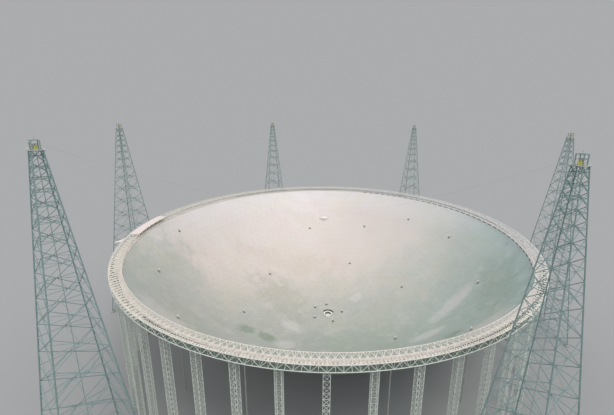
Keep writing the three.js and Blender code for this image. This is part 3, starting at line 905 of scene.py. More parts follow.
@dataclass
class Reflector:
    """Triangular panels in a five-fold grid on the sphere, with the cable net behind them."""

    sphere: Sphere
    sectors: int = 5
    first_bearing: float = 43.2
    subdivisions: int = 30
    corner_angle: float = 63.435
    gap: float = 0.06 * METRE
    panel_thickness: float = 0.16 * METRE
    uneven: float = 0.02 * METRE
    tone_spread: float = 0.45
    sliver: float = 0.04
    panel_reach: float = 249.6 * METRE
    net_depth: float = 0.55 * METRE
    net_width: float = 0.09 * METRE
    shortest_cable: float = 2 * METRE
    edge_margin: float = 0.1 * METRE
    hoop_nodes: int = 300
    hoop_drop: float = 0.3 * METRE
    hoop_width: float = 0.14 * METRE
    tie_width: float = 0.25 * METRE
    # Dark strips of painted shadow at the bowl's edge on the right: their bearings, step, length, reach, rise
    # and thickness.
    shadow_bearings: Pair = (16.8, 117)
    shadow_step: float = 2.9
    shadow_length: float = 1.8
    shadow_reach: Pair = (249.3 * METRE, 249.9 * METRE)
    shadow_rise: float = 0.4 * METRE
    shadow_thickness: float = 0.15 * METRE
    rim_wall: float = 0.5 * METRE
    flange_width: float = 1.9 * METRE
    flange_thickness: float = 0.1 * METRE
    flange_rise: float = 0.11 * METRE
    flange_fall: float = 0.06 * METRE

    def grid(self, sector: int) -> tuple[Array, Array]:
        """Grid directions of one sector and the triangles between them.

        Row k of the grid is the great-circle arc between the points k steps down the sector's
        two sides, cut into k equal steps.

        Args:
            sector: Number of the sector.

        Returns:
            Unit vectors, one row each, and corner numbers of each triangle.
        """
        rows, columns = np.tril_indices(self.subdivisions + 1)
        tilt = np.radians(self.corner_angle * rows / self.subdivisions)
        bearings = self.first_bearing + 360 / self.sectors * (sector + np.arange(2))
        left, right = (
            np.stack([np.sin(tilt) * math.sin(b), np.sin(tilt) * math.cos(b), -np.cos(tilt)], axis=-1)
            for b in np.radians(bearings)
        )
        arc = np.arccos(np.clip((left * right).sum(-1), -1, 1))[:, None]
        share = (columns / np.maximum(rows, 1))[:, None]
        curved = np.sin((1 - share) * arc) * left + np.sin(share * arc) * right
        directions = unit(np.where(arc > 1e-6, curved, left))
        k, j = np.tril_indices(self.subdivisions)
        start = k * (k + 1) // 2 + j
        below = (k + 1) * (k + 2) // 2 + j
        upright = np.stack([start, below, below + 1], axis=-1)
        inner = j < k
        hanging = np.stack([start, below + 1, start + 1], axis=-1)[inner]
        return directions, np.concatenate([upright[1:], hanging])

    def held_to_edge(self, directions: Array, radius: float) -> Array:
        """Directions past an edge brought back to it, on the same bearing.

        Args:
            directions: Unit vectors.
            radius: Distance of the edge from the axis.

        Returns:
            The unit vectors, none further from the axis than the edge.
        """
        limit = math.asin(radius / self.sphere.radius)
        tilt = np.arccos(-directions[:, 2])
        flat = unit(directions[:, :2] + 1e-9)
        held = np.minimum(tilt, limit)
        rim = np.concatenate([flat * np.sin(held)[:, None], -np.cos(held)[:, None]], axis=-1)
        return np.where((tilt > limit)[:, None], rim, directions)

    def panels(self, sector: int, random: np.random.Generator) -> Piece:
        """The panels of one sector, each a thin plate with a gap all round.

        A corner of a plate is the grid point moved towards the panel's middle until the edges
        stand off by half the gap: corner = middle + (grid point - middle)(1 - gap / 2 / inradius).

        Args:
            sector: Number of the sector.
            random: Source of the small tilts and tones.

        Returns:
            The piece.
        """
        directions, triangles = self.grid(sector)
        corners = self.sphere.points(self.held_to_edge(directions, self.panel_reach))[triangles]
        edges = onward(corners) - corners
        area = np.linalg.norm(np.cross(edges[:, 0], edges[:, 1]), axis=-1) / 2
        kept = area > self.sliver * np.median(area)
        corners, edges, area = corners[kept], edges[kept], area[kept]
        middle = corners.mean(axis=1, keepdims=True)
        inradius = 2 * area / np.linalg.norm(edges, axis=-1).sum(-1)
        shrink = (1 - np.minimum(self.gap / 2 / inradius, 0.5))[:, None, None]
        inward = unit((0, 0, self.sphere.centre_height) - middle)
        corners = middle + (corners - middle) * shrink
        corners = corners + inward * random.uniform(-1, 1, (len(corners), 3, 1)) * self.uneven
        plates = np.concatenate([corners, corners - inward * self.panel_thickness], axis=1)
        base = 6 * np.arange(len(plates))[:, None]
        shape = Shape()
        shape.put(plates, [
            base + (0, 1, 2), base + (5, 4, 3), base + (0, 3, 4, 1), base + (1, 4, 5, 2), base + (2, 5, 3, 0),
        ])
        tone = np.clip(random.normal(0, self.tone_spread, len(plates)), -1, 1)
        return shape.build(f"reflector_panels_{sector + 1}", Palette.PANEL, tones=np.tile(tone, 5))

    def net(self) -> None:
        """Makes the cable net: one cable behind each edge of the grid."""
        starts, ends = [], []
        for sector in range(self.sectors):
            directions, triangles = self.grid(sector)
            held = self.held_to_edge(directions, self.sphere.aperture)
            edges = np.concatenate([triangles[:, [0, 1]], triangles[:, [1, 2]], triangles[:, [2, 0]]])
            edges = np.unique(np.sort(edges, axis=1), axis=0)
            points = self.sphere.points(held, self.net_depth)
            starts.append(points[edges[:, 0]])
            ends.append(points[edges[:, 1]])
        starts, ends = np.concatenate(starts), np.concatenate(ends)
        long = np.linalg.norm(ends - starts, axis=-1) > self.shortest_cable
        shape = Shape()
        shape.bars(starts[long], ends[long], self.net_width, 3)
        shape.build("reflector_cable_net", Palette.NET)

    def edge(self) -> None:
        """Makes the hoop under the last panels and the ties from it to the ring girder."""
        inner, outer = self.panel_reach - self.edge_margin, self.sphere.aperture + self.edge_margin
        bearings = np.arange(self.hoop_nodes) * 360 / self.hoop_nodes
        hoop = polar(bearings, inner, self.sphere.height(inner) - self.hoop_drop)
        shape = Shape()
        shape.bars(hoop, onward(hoop), self.hoop_width)
        shape.bars(hoop, polar(bearings, outer, self.sphere.height(outer) - self.hoop_drop), self.tie_width)
        shape.build("reflector_edge_ties", Palette.GIRDER)

    def shadow_strips(self) -> None:
        """Makes the dark strips of painted shadow over the gap between the last panels and the ring, on the
        right.
        """
        corners = np.array([0, 0, self.shadow_length, self.shadow_length])
        starts = np.arange(*self.shadow_bearings, self.shadow_step)[:, None] + corners
        radii = np.array([*self.shadow_reach, *self.shadow_reach[::-1]])
        heights = self.sphere.height(radii) + self.shadow_rise
        upper = polar(starts, radii, heights).reshape(-1, 4, 3)
        shape = Shape()
        shape.slabs(upper, upper - (0, 0, self.shadow_thickness))
        shape.build("reflector_edge_painted_shadows", Palette.COLLAR_AND_SHADOW)

    def rim(self) -> Piece:
        """The upstand round the opening, with the flange that laps over the panels' inner corners.

        Returns:
            The piece.
        """
        low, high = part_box("reflector_opening_rim")
        outer = high[0]
        inner = outer - self.rim_wall
        flange = outer + self.flange_width
        level = self.sphere.height(flange) + self.flange_rise
        foot = level - self.flange_fall
        shape = Shape()
        shape.turned([
            (inner, low[2]), (outer, low[2]), (outer, foot - self.flange_thickness),
            (flange, level - self.flange_thickness), (flange, level), (outer, foot), (outer, high[2]),
            (inner, high[2]),
        ], 60)
        return shape.build("opening_rim", Palette.PANEL, smooth=True)

    def build(self) -> None:
        """Makes every piece of the bowl and hides the plain sectors."""
        random = np.random.default_rng(SEED)
        for sector in range(self.sectors):
            outer = (f"reflector_outer_sector_{2 * sector + half}" for half in (1, 2))
            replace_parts(self.panels(sector, random), f"reflector_inner_sector_{sector + 1}", *outer)
        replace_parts(self.rim(), "reflector_opening_rim")
        self.edge()
        self.shadow_strips()
        self.net()
        LOG.info("reflector: %d sectors of panels, net and rim", self.sectors)


# The pillars that stand through the bowl


@dataclass
class Pillars:
    """Survey pillars: a concrete shaft from the floor, a dark collar and a white head."""

    sphere: Sphere
    inner: tuple[Pair, ...] = (
        (23.4, -124), (23.8, -57.5), (21.5, -7), (21.5, 83), (22.2, 160.5),
    )
    middle_ring: tuple[float, ...] = (-109, -55, 18.5, 74, 137)
    middle_radius: float = 123 * METRE
    outer: tuple[Pair, ...] = (
        (236, -81), (223, -107), (209, -131.5), (191, -12), (198.5, 21), (223, 43.5), (219, 68.5),
        (204, 103), (208, 135.5), (210, 165), (210, -160),
    )
    shaft_width: float = 1.3 * METRE
    shaft_rise: float = 2.4 * METRE
    collar_radius: float = 2.0 * METRE
    collar_depth: float = 0.1 * METRE
    collar_rise: float = 0.12 * METRE
    head_width: float = 1.5 * METRE
    head_height: float = 1.7 * METRE
    shoulder_share: float = 0.75
    cap_share: float = 0.55

    def places(self) -> Array:
        """Where the pillars meet the bowl's surface.

        Returns:
            The points, one row each.
        """
        spots = [(self.middle_radius, b) for b in self.middle_ring]
        spots += [(radius * METRE, bearing) for radius, bearing in self.inner + self.outer]
        radius, bearing = np.array(spots).T
        return polar(bearing, radius, self.sphere.height(radius))

    def collars(self, places: Array) -> None:
        """Makes the dark collars that lie on the panels, each a low disc square to the surface.

        Args:
            places: Where the pillars meet the surface.
        """
        shape = Shape()
        normal = unit((0, 0, self.sphere.centre_height) - places)
        shape.bars(places - normal * self.collar_depth, places + normal * self.collar_rise,
                   2 * self.collar_radius, 16)
        shape.build("pillar_collars", Palette.COLLAR_AND_SHADOW)

    def build(self) -> None:
        """Makes the shafts, collars and heads."""
        places = self.places()
        top = places + (0, 0, self.shaft_rise)
        shafts = Shape()
        shafts.bars(places * (1, 1, 0), top, self.shaft_width, 12)
        shafts.build("pillar_shafts", Palette.CONCRETE, smooth=True)
        self.collars(places)
        heads = Shape()
        shoulder = top + (0, 0, self.shoulder_share * self.head_height)
        heads.bars(top, shoulder, self.head_width, 10)
        heads.bars(shoulder, top + (0, 0, self.head_height), self.head_width * self.cap_share, 10)
        heads.build("pillar_heads", Palette.WHITE, smooth=True)
        LOG.info("pillars: %d", len(places))


# The ring girder and its columns


@dataclass
class RingGirder:
    """A square-celled lattice ring on fifty lattice columns, in ten segments."""

    sphere: Sphere
    segments: int = 10
    nodes: int = 300
    inner: float = 250.3 * METRE
    outer: float = 261.4 * METRE
    height: float = 5.5 * METRE
    chord: float = 0.5 * METRE
    middle_chord: float = 0.364 * METRE
    post: float = 0.28 * METRE
    outer_post: float = 0.12 * METRE
    brace: float = 0.26 * METRE
    top_brace: float = 0.34 * METRE
    column_every: int = 6
    column_span: float = 4.8 * METRE
    column_leg: float = 0.36 * METRE
    column_brace: float = 0.16 * METRE
    falling_brace: float = 0.152 * METRE
    cap_margin: float = 0.5 * METRE
    cap_thickness: float = 0.5 * METRE
    cap_drop: float = 0.55 * METRE
    foot_margin: float = 1.2 * METRE
    foot_height: float = 0.8 * METRE
    walk_inner: float = 250.75 * METRE
    walk_outer: float = 253.6 * METRE
    walk_rise: float = 0.35 * METRE
    walk_beam: float = 0.22 * METRE
    plank_length: float = 1.18 * METRE
    plank_thickness: float = 0.14 * METRE
    plank_gap: float = 0.14 * METRE
    grating_gap: float = 0.2 * METRE
    grating_outer: float = 261.1 * METRE
    grating_rise: float = 0.1 * METRE
    grating_thickness: float = 0.06 * METRE
    cover_gap: float = 0.3 * METRE
    cover_rise: float = 0.28 * METRE
    cover_thickness: float = 0.08 * METRE
    covered: tuple[tuple[int, int, float, float], ...] = (
        (180, 219, 261.0 * METRE, 3.4 * METRE), (231, 262, 259.6 * METRE, 3.4 * METRE),
        (32, 82, 258.4 * METRE, 3.4 * METRE), (82, 117, 261.0 * METRE, 2.4 * METRE),
    )
    track_inner: float = 259.9 * METRE
    track_outer: float = 261.1 * METRE
    track_rise: float = 0.33 * METRE
    slat_length: float = 1.2 * METRE
    slat_thickness: float = 0.12 * METRE
    rail_height: float = 1.1 * METRE
    rail: float = 0.07 * METRE
    stanchion: float = 0.063 * METRE
    deck_bearings: Pair = (260.4, 277.2)
    deck_inner: float = 250.6 * METRE
    deck_rise: float = 0.16 * METRE
    deck_thickness: float = 0.3 * METRE
    deck_overhang: float = 1.1 * METRE
    spur_root: Pair = (257.6, 254.6)
    spur_tip: Pair = (254.4, 269.4 * METRE)

    @property
    def step(self) -> float:
        """Bearing from one node of the ring to the next, in degrees."""
        return 360 / self.nodes

    @property
    def middle(self) -> float:
        """Radius of the chords halfway across the ring."""
        return (self.inner + self.outer) / 2

    @property
    def low(self) -> float:
        """Height of the lower chords."""
        return self.sphere.edge_height

    @property
    def high(self) -> float:
        """Height of the upper chords."""
        return self.low + self.height

    def at(self, index: Array, radius: Array | float, height: Array | float) -> Array:
        """Points at node numbers, which may be halves, at a distance from the axis and a height."""
        return polar(index * self.step, radius, height)

    def lattice(self, shape: Shape, index: Array) -> None:
        """Adds the ring's bars between each numbered node and the next.

        The upright faces are a zigzag that touches the lower chord at even nodes, with a post at
        every node. The top has a zigzag of half the pitch in its inner band and one of the full
        pitch in its outer band.

        Args:
            shape: The shape to add to.
            index: Node numbers.
        """
        low, high = self.low, self.high
        even = index % 2 == 0
        rise, fall = np.where(even, low, high), np.where(even, high, low)
        circles = ((self.inner, low), (self.inner, high), (self.outer, low), (self.outer, high))
        for radius, height in circles:
            shape.bars(self.at(index, radius, height), self.at(index + 1, radius, height), self.chord, 6)
        for height in (low, high):
            shape.bars(self.at(index, self.middle, height), self.at(index + 1, self.middle, height),
                       self.middle_chord, 6)
            shape.bars(self.at(index, self.inner, height), self.at(index, self.outer, height), self.post)
        posts = ((self.inner, self.post), (self.middle, self.post), (self.outer, self.outer_post))
        for radius, post in posts:
            shape.bars(self.at(index, radius, low), self.at(index, radius, high), post)
            if radius != self.middle:
                shape.bars(self.at(index, radius, rise), self.at(index + 1, radius, fall), self.brace)
        half = self.at(index + 0.5, self.inner, high)
        shape.bars(self.at(index, self.middle, high), half, self.top_brace)
        shape.bars(half, self.at(index + 1, self.middle, high), self.top_brace)
        near, far = np.where(even, self.outer, self.middle), np.where(even, self.middle, self.outer)
        shape.bars(self.at(index, near, high), self.at(index + 1, far, high), self.top_brace)
        across = np.where(even, self.inner, self.outer)
        back = np.where(even, self.outer, self.inner)
        shape.bars(self.at(index, across, low), self.at(index + 1, back, low), self.brace)

    def columns(self, shape: Shape, index: Array) -> None:
        """Adds the lattice columns under the numbered nodes, square in plan and in tiers as high as wide.

        Args:
            shape: The shape to add to.
            index: Node numbers of the columns.
        """
        head = self.low - self.chord
        tiers = round(head / self.column_span)
        levels = np.linspace(self.foot_height, head, tiers + 1)
        grid = squares(self.column_span / 2, levels)
        following = onward(grid)
        legs = (grid[0], grid[-1], self.column_leg)
        level_bars = (grid, following, self.column_brace)
        rising = (grid[:-1], following[1:], self.column_brace)
        falling = (following[:-1], grid[1:], self.falling_brace)
        for number in index:
            bearing = number * self.step
            centre = polar(bearing, self.middle, 0)[0]
            for starts, ends, width in (legs, level_bars, rising, falling):
                shape.bars(turned_to(starts.reshape(-1, 3), bearing, centre),
                           turned_to(ends.reshape(-1, 3), bearing, centre), width)

    @property
    def walk_level(self) -> float:
        """Height of the middle of the walkway's beams, low on the ring's inner side."""
        return self.low + self.walk_rise

    @property
    def track_level(self) -> float:
        """Height of the middle of the track's slats, on the upper chords."""
        return self.high + self.track_rise

    def walkways(self, shape: Shape, index: Array) -> None:
        """Adds the walkway's edge beams, the track with its slats on the top, and the handrails.

        Args:
            shape: The shape to add to.
            index: Node numbers.
        """
        halves = np.concatenate([index, index + 0.5])
        wide = self.track_outer - self.track_inner
        shape.boxes(self.at(halves, self.track_inner + wide / 2, self.track_level),
                    (self.slat_length, wide, self.slat_thickness), halves * self.step)
        for radius, level in ((self.walk_inner, self.walk_level), (self.walk_outer, self.walk_level),
                              (self.track_inner, self.track_level), (self.track_outer, self.track_level)):
            shape.bars(self.at(index, radius, level), self.at(index + 1, radius, level), self.walk_beam)
        for radius, level in ((self.walk_outer, self.walk_level), (self.track_outer, self.track_level)):
            for rise in (self.rail_height / 2, self.rail_height):
                shape.bars(self.at(index, radius, level + rise), self.at(index + 1, radius, level + rise),
                           self.rail)
            shape.bars(self.at(halves, radius, level), self.at(halves, radius, level + self.rail_height),
                       self.stanchion)

    def planks(self) -> None:
        """Makes the walkway's planks: two rows of short ones, the second row half a plank on."""
        quarters = np.arange(4 * self.nodes) / 4
        row = (self.walk_outer - self.walk_inner) / 2
        plank = (self.plank_length, row - self.plank_gap, self.plank_thickness)
        half_plank = 1 / 8
        shape = Shape()
        for number in range(2):
            index = quarters + half_plank * (1 - number)
            radius = self.walk_inner + row * (number + 0.5)
            shape.boxes(self.at(index, radius, self.walk_level), plank, index * self.step)
        shape.build("ring_walkway_planks", Palette.PLANK)

    def grating(self) -> None:
        """Makes the dark grating low in the ring, from the walkway to the outer chord: a dark plate of
        painted shade for the shade and dark ground seen through the lattice.
        """
        half = self.grating_thickness / 2
        level = self.low + self.grating_rise
        inner, outer = self.walk_outer + self.grating_gap, self.grating_outer
        shape = Shape()
        shape.turned([(inner, level - half), (outer, level - half), (outer, level + half),
                      (inner, level + half)], self.nodes)
        shape.build("ring_low_grating_painted_shade", Palette.SHADED_GRATING)

    def covers(self) -> None:
        """Makes the plates over the grating at the sides, which leave a slot in every cell."""
        inner = self.walk_outer + self.cover_gap
        shape = Shape()
        for first, last, outer, width in self.covered:
            index = np.arange(first, last)
            shape.boxes(self.at(index, (inner + outer) / 2, self.low + self.cover_rise),
                        (width, outer - inner, self.cover_thickness), index * self.step)
        shape.build("ring_grating_covers", Palette.GIRDER)

    def segment(self, number: int) -> None:
        """Makes one tenth of the ring with its five columns.

        Args:
            number: Number of the segment.
        """
        span = self.nodes // self.segments
        middle = self.nodes // 2 + number * span
        index = np.arange(middle - span // 2, middle + span // 2)
        shape = Shape()
        self.lattice(shape, index)
        self.walkways(shape, index)
        self.columns(shape, index[index % self.column_every == 0])
        piece = shape.build(f"ring_lattice_{number + 1}", Palette.GIRDER)
        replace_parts(piece, f"ring_girder_segment_{number + 1}")

    def landing(self) -> None:
        """Makes the solid deck over the ring on the left, and its pointed spur."""
        top = self.track_level + self.deck_rise
        under, outer = top - self.deck_thickness, self.outer + self.deck_overhang
        shape = Shape()
        shape.turned([(self.deck_inner, under), (outer, under), (outer, top), (self.deck_inner, top)],
                     28, bearings=self.deck_bearings)
        root = polar(np.array(self.spur_root), self.outer, top)
        tip = polar(*self.spur_tip, top)
        outline = np.concatenate([root[:1], tip, root[1:]])
        lower = outline - (0, 0, self.deck_thickness)
        faces = [np.array([[2, 1, 0]]), np.array([[3, 4, 5]]),
                 np.array([[0, 1, 4, 3], [1, 2, 5, 4], [2, 0, 3, 5]])]
        shape.put(np.concatenate([outline, lower]), faces)
        shape.build("ring_landing_deck", Palette.PLANK)

    def footings(self) -> None:
        """Makes the columns' footings and the cap plates on their heads."""
        index = np.arange(0, self.nodes, self.column_every)
        bearings = index * self.step
        pads, caps = Shape(), Shape()
        span = self.column_span + self.foot_margin
        pads.boxes(self.at(index, self.middle, self.foot_height / 2), (span, span, self.foot_height),
                   bearings)
        span = self.column_span + self.cap_margin
        caps.boxes(self.at(index, self.middle, self.low - self.cap_drop), (span, span, self.cap_thickness),
                   bearings)
        pads.build("column_footings", Palette.CONCRETE)
        caps.build("column_caps", Palette.GIRDER)

    def build(self) -> None:
        """Makes the ten segments, the landing and the footings."""
        for number in range(self.segments):
            self.segment(number)
        self.planks()
        self.grating()
        self.covers()
        self.landing()
        self.footings()
        LOG.info("ring girder: %d segments, %d columns", self.segments, self.nodes // self.column_every)


# The towers and their heads


@dataclass
class LatticeTower:
    """One four-legged tower of tubes, with crossed diagonals in every tier of each face."""

    number: int
    ring_top: float
    top_width: float = 6.3 * METRE
    taper: float = 0.19
    levels_above_ring: tuple[float, ...] = (
        131, 124.2, 117.9, 110.8, 102.7, 93.4, 82.6, 69.2, 53.6, 35.7, 17, -4, -27, -52, -79, -108,
    )
    foot_height: float = 1.6 * METRE
    foot_span: float = 4.6 * METRE
    leg_widths: Pair = (0.64 * METRE, 1.1 * METRE)
    leg_inset: float = 0.4 * METRE
    brace_widths: Pair = (0.35 * METRE, 0.58 * METRE)
    crossing_share: float = 0.96
    frame_share: float = 0.9
    inner_frame_share: float = 0.65
    ladder_width: float = 0.8 * METRE
    ladder_pitch: float = 1.5 * METRE
    ladder_bar: float = 0.12 * METRE
    rung: float = 0.072 * METRE
    ladder_tie: float = 0.216 * METRE
    tied_width: float = 15 * METRE
    centre: Array = field(init=False)
    bearing: float = field(init=False)

    def __post_init__(self) -> None:
        """Reads the tower's place from the frame."""
        low, high = np.array(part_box(f"tower_{self.number}_head"))
        self.centre = (low + high)[:2] / 2
        self.bearing = math.degrees(math.atan2(self.centre[0], self.centre[1]))

    @property
    def top(self) -> float:
        """Height of the lattice's top."""
        return self.ring_top + self.levels_above_ring[0] * METRE

    @property
    def levels(self) -> Array:
        """Heights at which the diagonals meet the legs, from the top down to the feet."""
        levels = [self.ring_top + level * METRE for level in self.levels_above_ring]
        return np.array([*levels, self.foot_height])

    def corners(self, heights: Array) -> Array:
        """The legs' middle points by height and by leg, the tower's width growing evenly downwards."""
        half = (self.top_width + self.taper * (self.top - heights)) / 2 - self.leg_inset
        return squares(half, heights)

    def place(self, points: Array) -> Array:
        """Local points in the model's frame."""
        return turned_to(points.reshape(-1, 3), self.bearing, self.centre)

    def add(self, shape: Shape, starts: Array, ends: Array, widths: Array | float, sides: int = 6) -> None:
        """Adds bars given in the tower's own frame.

        Args:
            shape: The shape to add to.
            starts: First ends.
            ends: Second ends.
            widths: One width for all, or one for each tier of bars.
            sides: Number of sides of the section.
        """
        starts, ends = np.broadcast_arrays(starts, ends)
        widths = np.atleast_1d(widths)
        widths = np.repeat(widths, starts.reshape(-1, 3).shape[0] // len(widths))
        shape.bars(self.place(starts), self.place(ends), widths, sides)

    def lattice(self) -> Piece:
        """The legs, crossed diagonals, level frames and the ladder in the middle.

        Returns:
            The piece.
        """
        levels = self.levels
        points = self.corners(levels)
        following = onward(points)
        depth = (self.top - levels[1:]) / (self.top - self.foot_height)
        leg = self.leg_widths[0] + (self.leg_widths[1] - self.leg_widths[0]) * depth
        brace = self.brace_widths[0] + (self.brace_widths[1] - self.brace_widths[0]) * depth
        shape = Shape()
        self.add(shape, points[:-1], points[1:], leg, 8)
        self.add(shape, points[:-1], following[1:], brace)
        self.add(shape, following[:-1], points[1:], brace * self.crossing_share)
        self.add(shape, points[0], following[0], brace[0])
        self.level_frames(shape, points, brace)
        self.ladder(shape)
        return shape.build(f"tower_{self.number}_tubes", Palette.TOWER, smooth=True)

    def level_frames(self, shape: Shape, points: Array, brace: Array) -> None:
        """Adds the level bars through each tier's crossings, and what ties the ladder to them.

        The diagonals of a tier cross at the share w / (w + v) of its height from the top, with w
        and v its widths at the top and the bottom. A frame has a bar through each face's
        crossing and a smaller square between the middles of those bars, and in the wide tiers a
        beam across that square, which the ladder leans on.

        Args:
            shape: The shape to add to.
            points: Leg points at each level.
            brace: Width of the diagonals in each tier.
        """
        width = np.linalg.norm(points[:, 1] - points[:, 0], axis=-1)
        share = (width[:-1] / (width[:-1] + width[1:]))[:, None, None]
        corners = points[:-1] + (points[1:] - points[:-1]) * share
        following = onward(corners)
        middles = (corners + following) / 2
        self.add(shape, corners, following, brace * self.frame_share)
        self.add(shape, middles, onward(middles), brace * self.inner_frame_share)
        tied = middles[width[1:] > self.tied_width]
        self.add(shape, tied[:, 1], tied[:, 3], self.ladder_tie)

    def ladder(self, shape: Shape) -> None:
        """Adds the ladder up the tower's axis.

        Args:
            shape: The shape to add to.
        """
        heights = np.arange(self.foot_height / 2, self.top, self.ladder_pitch)[:, None]
        left = np.concatenate([0 * heights - self.ladder_width / 2, 0 * heights, heights], axis=-1)
        right = left * (-1, 1, 1)
        self.add(shape, left, right, self.rung, 4)
        for side in (left, right):
            self.add(shape, side[:1], side[-1:], self.ladder_bar, 4)

    def feet(self) -> Piece:
        """The four concrete footings, and the pad under the ladder.

        Returns:
            The piece.
        """
        corners = self.corners(np.array([0.0]))[0]
        reach = (self.top_width + self.taper * self.top) / 2 - self.foot_span / 4
        corners = np.sign(corners) * reach
        corners[:, 2] = self.foot_height / 2
        foot = np.array([self.foot_span, self.foot_span, self.foot_height])
        shape = Shape()
        shape.boxes(self.place(corners), foot, self.bearing)
        shape.boxes(self.place(np.array([[0, 0, self.foot_height / 4]])), foot / 2, self.bearing)
        return shape.build(f"tower_{self.number}_feet", Palette.CONCRETE)

    def build(self) -> None:
        """Makes the tower and hides its plain lattice."""
        lattice, feet = self.lattice(), self.feet()
        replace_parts(lattice, f"tower_{self.number}_lattice")
        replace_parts(feet, f"tower_{self.number}_lattice")


@dataclass
class TowerHead:
    """A balcony with handrails, an open frame, and the sheave in its yellow bearings."""

    tower: LatticeTower
    seat: float = 0.0003
    rail: float = 0.07 * METRE
    knee_height: float = 0.55 * METRE
    board: float = 0.22 * METRE
    cable_gap: float = 1.1 * METRE
    stanchions: int = 6
    stanchion_shares: Pair = (0.99, 0.9)
    balcony: float = 7.2 * METRE
    rim: float = 0.3 * METRE
    joist: float = 0.18 * METRE
    joists: int = 9
    deck: float = 0.4 * METRE
    grating_thickness: float = 0.1 * METRE
    span: float = 4.3 * METRE
    height: float = 5.9 * METRE
    waist: float = 0.55
    post: float = 0.42 * METRE
    top_share: float = 0.98
    side_share: float = 0.7
    middle_share: float = 0.65
    waist_share: float = 0.6
    sheave_radius: float = 1.2 * METRE
    sheave_width: float = 0.5 * METRE
    sheave_sides: int = 24
    sheave_rims: tuple[Pair, ...] = ((1.08 * METRE, 0.24 * METRE), (0.3 * METRE, 0.5 * METRE))
    spokes: int = 8
    spoke: float = 0.2 * METRE
    axle: float = 0.3 * METRE
    axle_reach: float = 0.9 * METRE
    axle_height: float = 2.6 * METRE
    cheek_offset: float = 0.7 * METRE
    cheek_thickness: float = 0.26 * METRE
    cheek_outline: tuple[Pair, ...] = (
        (-1.1, 0), (1.1, 0), (1.1, 0.45), (0.4, 1.12), (-0.4, 1.12), (-1.1, 0.45),
    )
    gearbox_place: Vector = (1.25 * METRE, 0.2 * METRE, 0.9 * METRE)
    gearbox: Vector = (0.8 * METRE, 1.4 * METRE, 1.8 * METRE)
    lamp_across: float = 1.2 * METRE
    lamp_drop: float = 0.5 * METRE
    lamp_housing: Vector = (0.9 * METRE, 0.7 * METRE, 0.7 * METRE)
    hanger_offset: Pair = (0.3 * METRE, -0.2 * METRE)
    hanger_length: float = 0.35 * METRE
    hanger: float = 0.1 * METRE
    rail_height: float = 1.15 * METRE
    mast_height: float = 2 * METRE
    mast: float = 0.14 * METRE

    @property
    def floor(self) -> float:
        """Height of the balcony's walking surface."""
        return self.tower.top + self.seat + self.deck

    @staticmethod
    def stepped(width: float, count: int) -> Array:
        """Widths of bars that follow each other, every second one a little less, so no faces coincide."""
        return np.where(np.arange(count) % 2, 0.97 * width, width)

    def frame(self) -> Piece:
        """The balcony's beams and joists, the posts, the top frame and its mast.

        Returns:
            The piece.
        """
        shape = Shape()
        tower, floor = self.tower, self.floor
        edge, level = self.balcony / 2 - self.rim / 2, floor - self.deck / 2
        rim = squares(edge, level)
        tower.add(shape, rim, onward(rim), self.stepped(self.rim, 4), 4)
        across, near_edge = np.linspace(-edge, edge, self.joists), np.full(self.joists, -edge)
        near = np.stack([across, near_edge, np.full(self.joists, level)], axis=-1)
        tower.add(shape, near, near * (1, -1, 1), self.joist, 4)
        half = (self.span - self.post) / 2
        feet = squares(half, floor)
        heads = squares(half, floor + self.height - self.post / 2)
        waists = squares(half, floor + self.height * self.waist)
        tower.add(shape, feet, heads, self.post, 4)
        tower.add(shape, heads, onward(heads), self.stepped(self.post * self.top_share, 4), 4)
        tower.add(shape, heads[:2], heads[2:], self.stepped(self.post * self.side_share, 2), 4)
        middles = (heads + onward(heads)) / 2
        tower.add(shape, middles[1], middles[3], self.post * self.middle_share, 4)
        tower.add(shape, waists[[0, 1, 2]], waists[[3, 2, 3]], self.post * self.waist_share, 4)
        mast = middles.mean(axis=0)
        tower.add(shape, mast, mast + (0, 0, self.mast_height), self.mast, 6)
        return shape.build(f"tower_{tower.number}_head_frame", Palette.TOWER)

    def rails(self) -> Piece:
        """The balcony's toe boards and handrails with their stanchions, open where the cable passes.

        Returns:
            The piece.
        """
        shape = Shape()
        edge = self.balcony / 2 - self.board / 2
        right = np.array([(self.cable_gap, -edge), (edge, -edge), (edge, edge)])
        outline = np.concatenate([right, right[::-1] * (-1, 1)])
        for rise, width in ((self.board / 2, self.board), (self.knee_height, self.rail),
                            (self.rail_height, self.rail)):
            line = np.column_stack([outline, np.full(len(outline), self.floor + rise)])
            self.tower.add(shape, line[:-1], line[1:], self.stepped(width, len(line) - 1), 4)
        share = np.arange(self.stanchions)[:, None, None] / self.stanchions
        base = np.column_stack([outline, np.full(len(outline), self.floor)])
        stanchions = (base[:-1] + share * (base[1:] - base[:-1])).reshape(-1, 3)
        stanchions = np.concatenate([stanchions, base[-1:]])
        tops = stanchions + (0, 0, self.rail_height * self.stanchion_shares[0])
        self.tower.add(shape, stanchions, tops, self.rail * self.stanchion_shares[1], 4)
        return shape.build(f"tower_{self.tower.number}_balcony_rails", Palette.WHITE)

    def grating(self) -> Piece:
        """The balcony's dark grating, one thin plate on the joists.

        Returns:
            The piece.
        """
        shape = Shape()
        centre = self.tower.place(np.array([[0, 0, self.floor - self.grating_thickness / 2]]))
        shape.boxes(centre, (self.balcony, self.balcony, self.grating_thickness), self.tower.bearing)
        return shape.build(f"tower_{self.tower.number}_balcony_grating", Palette.SHADED_GRATING)

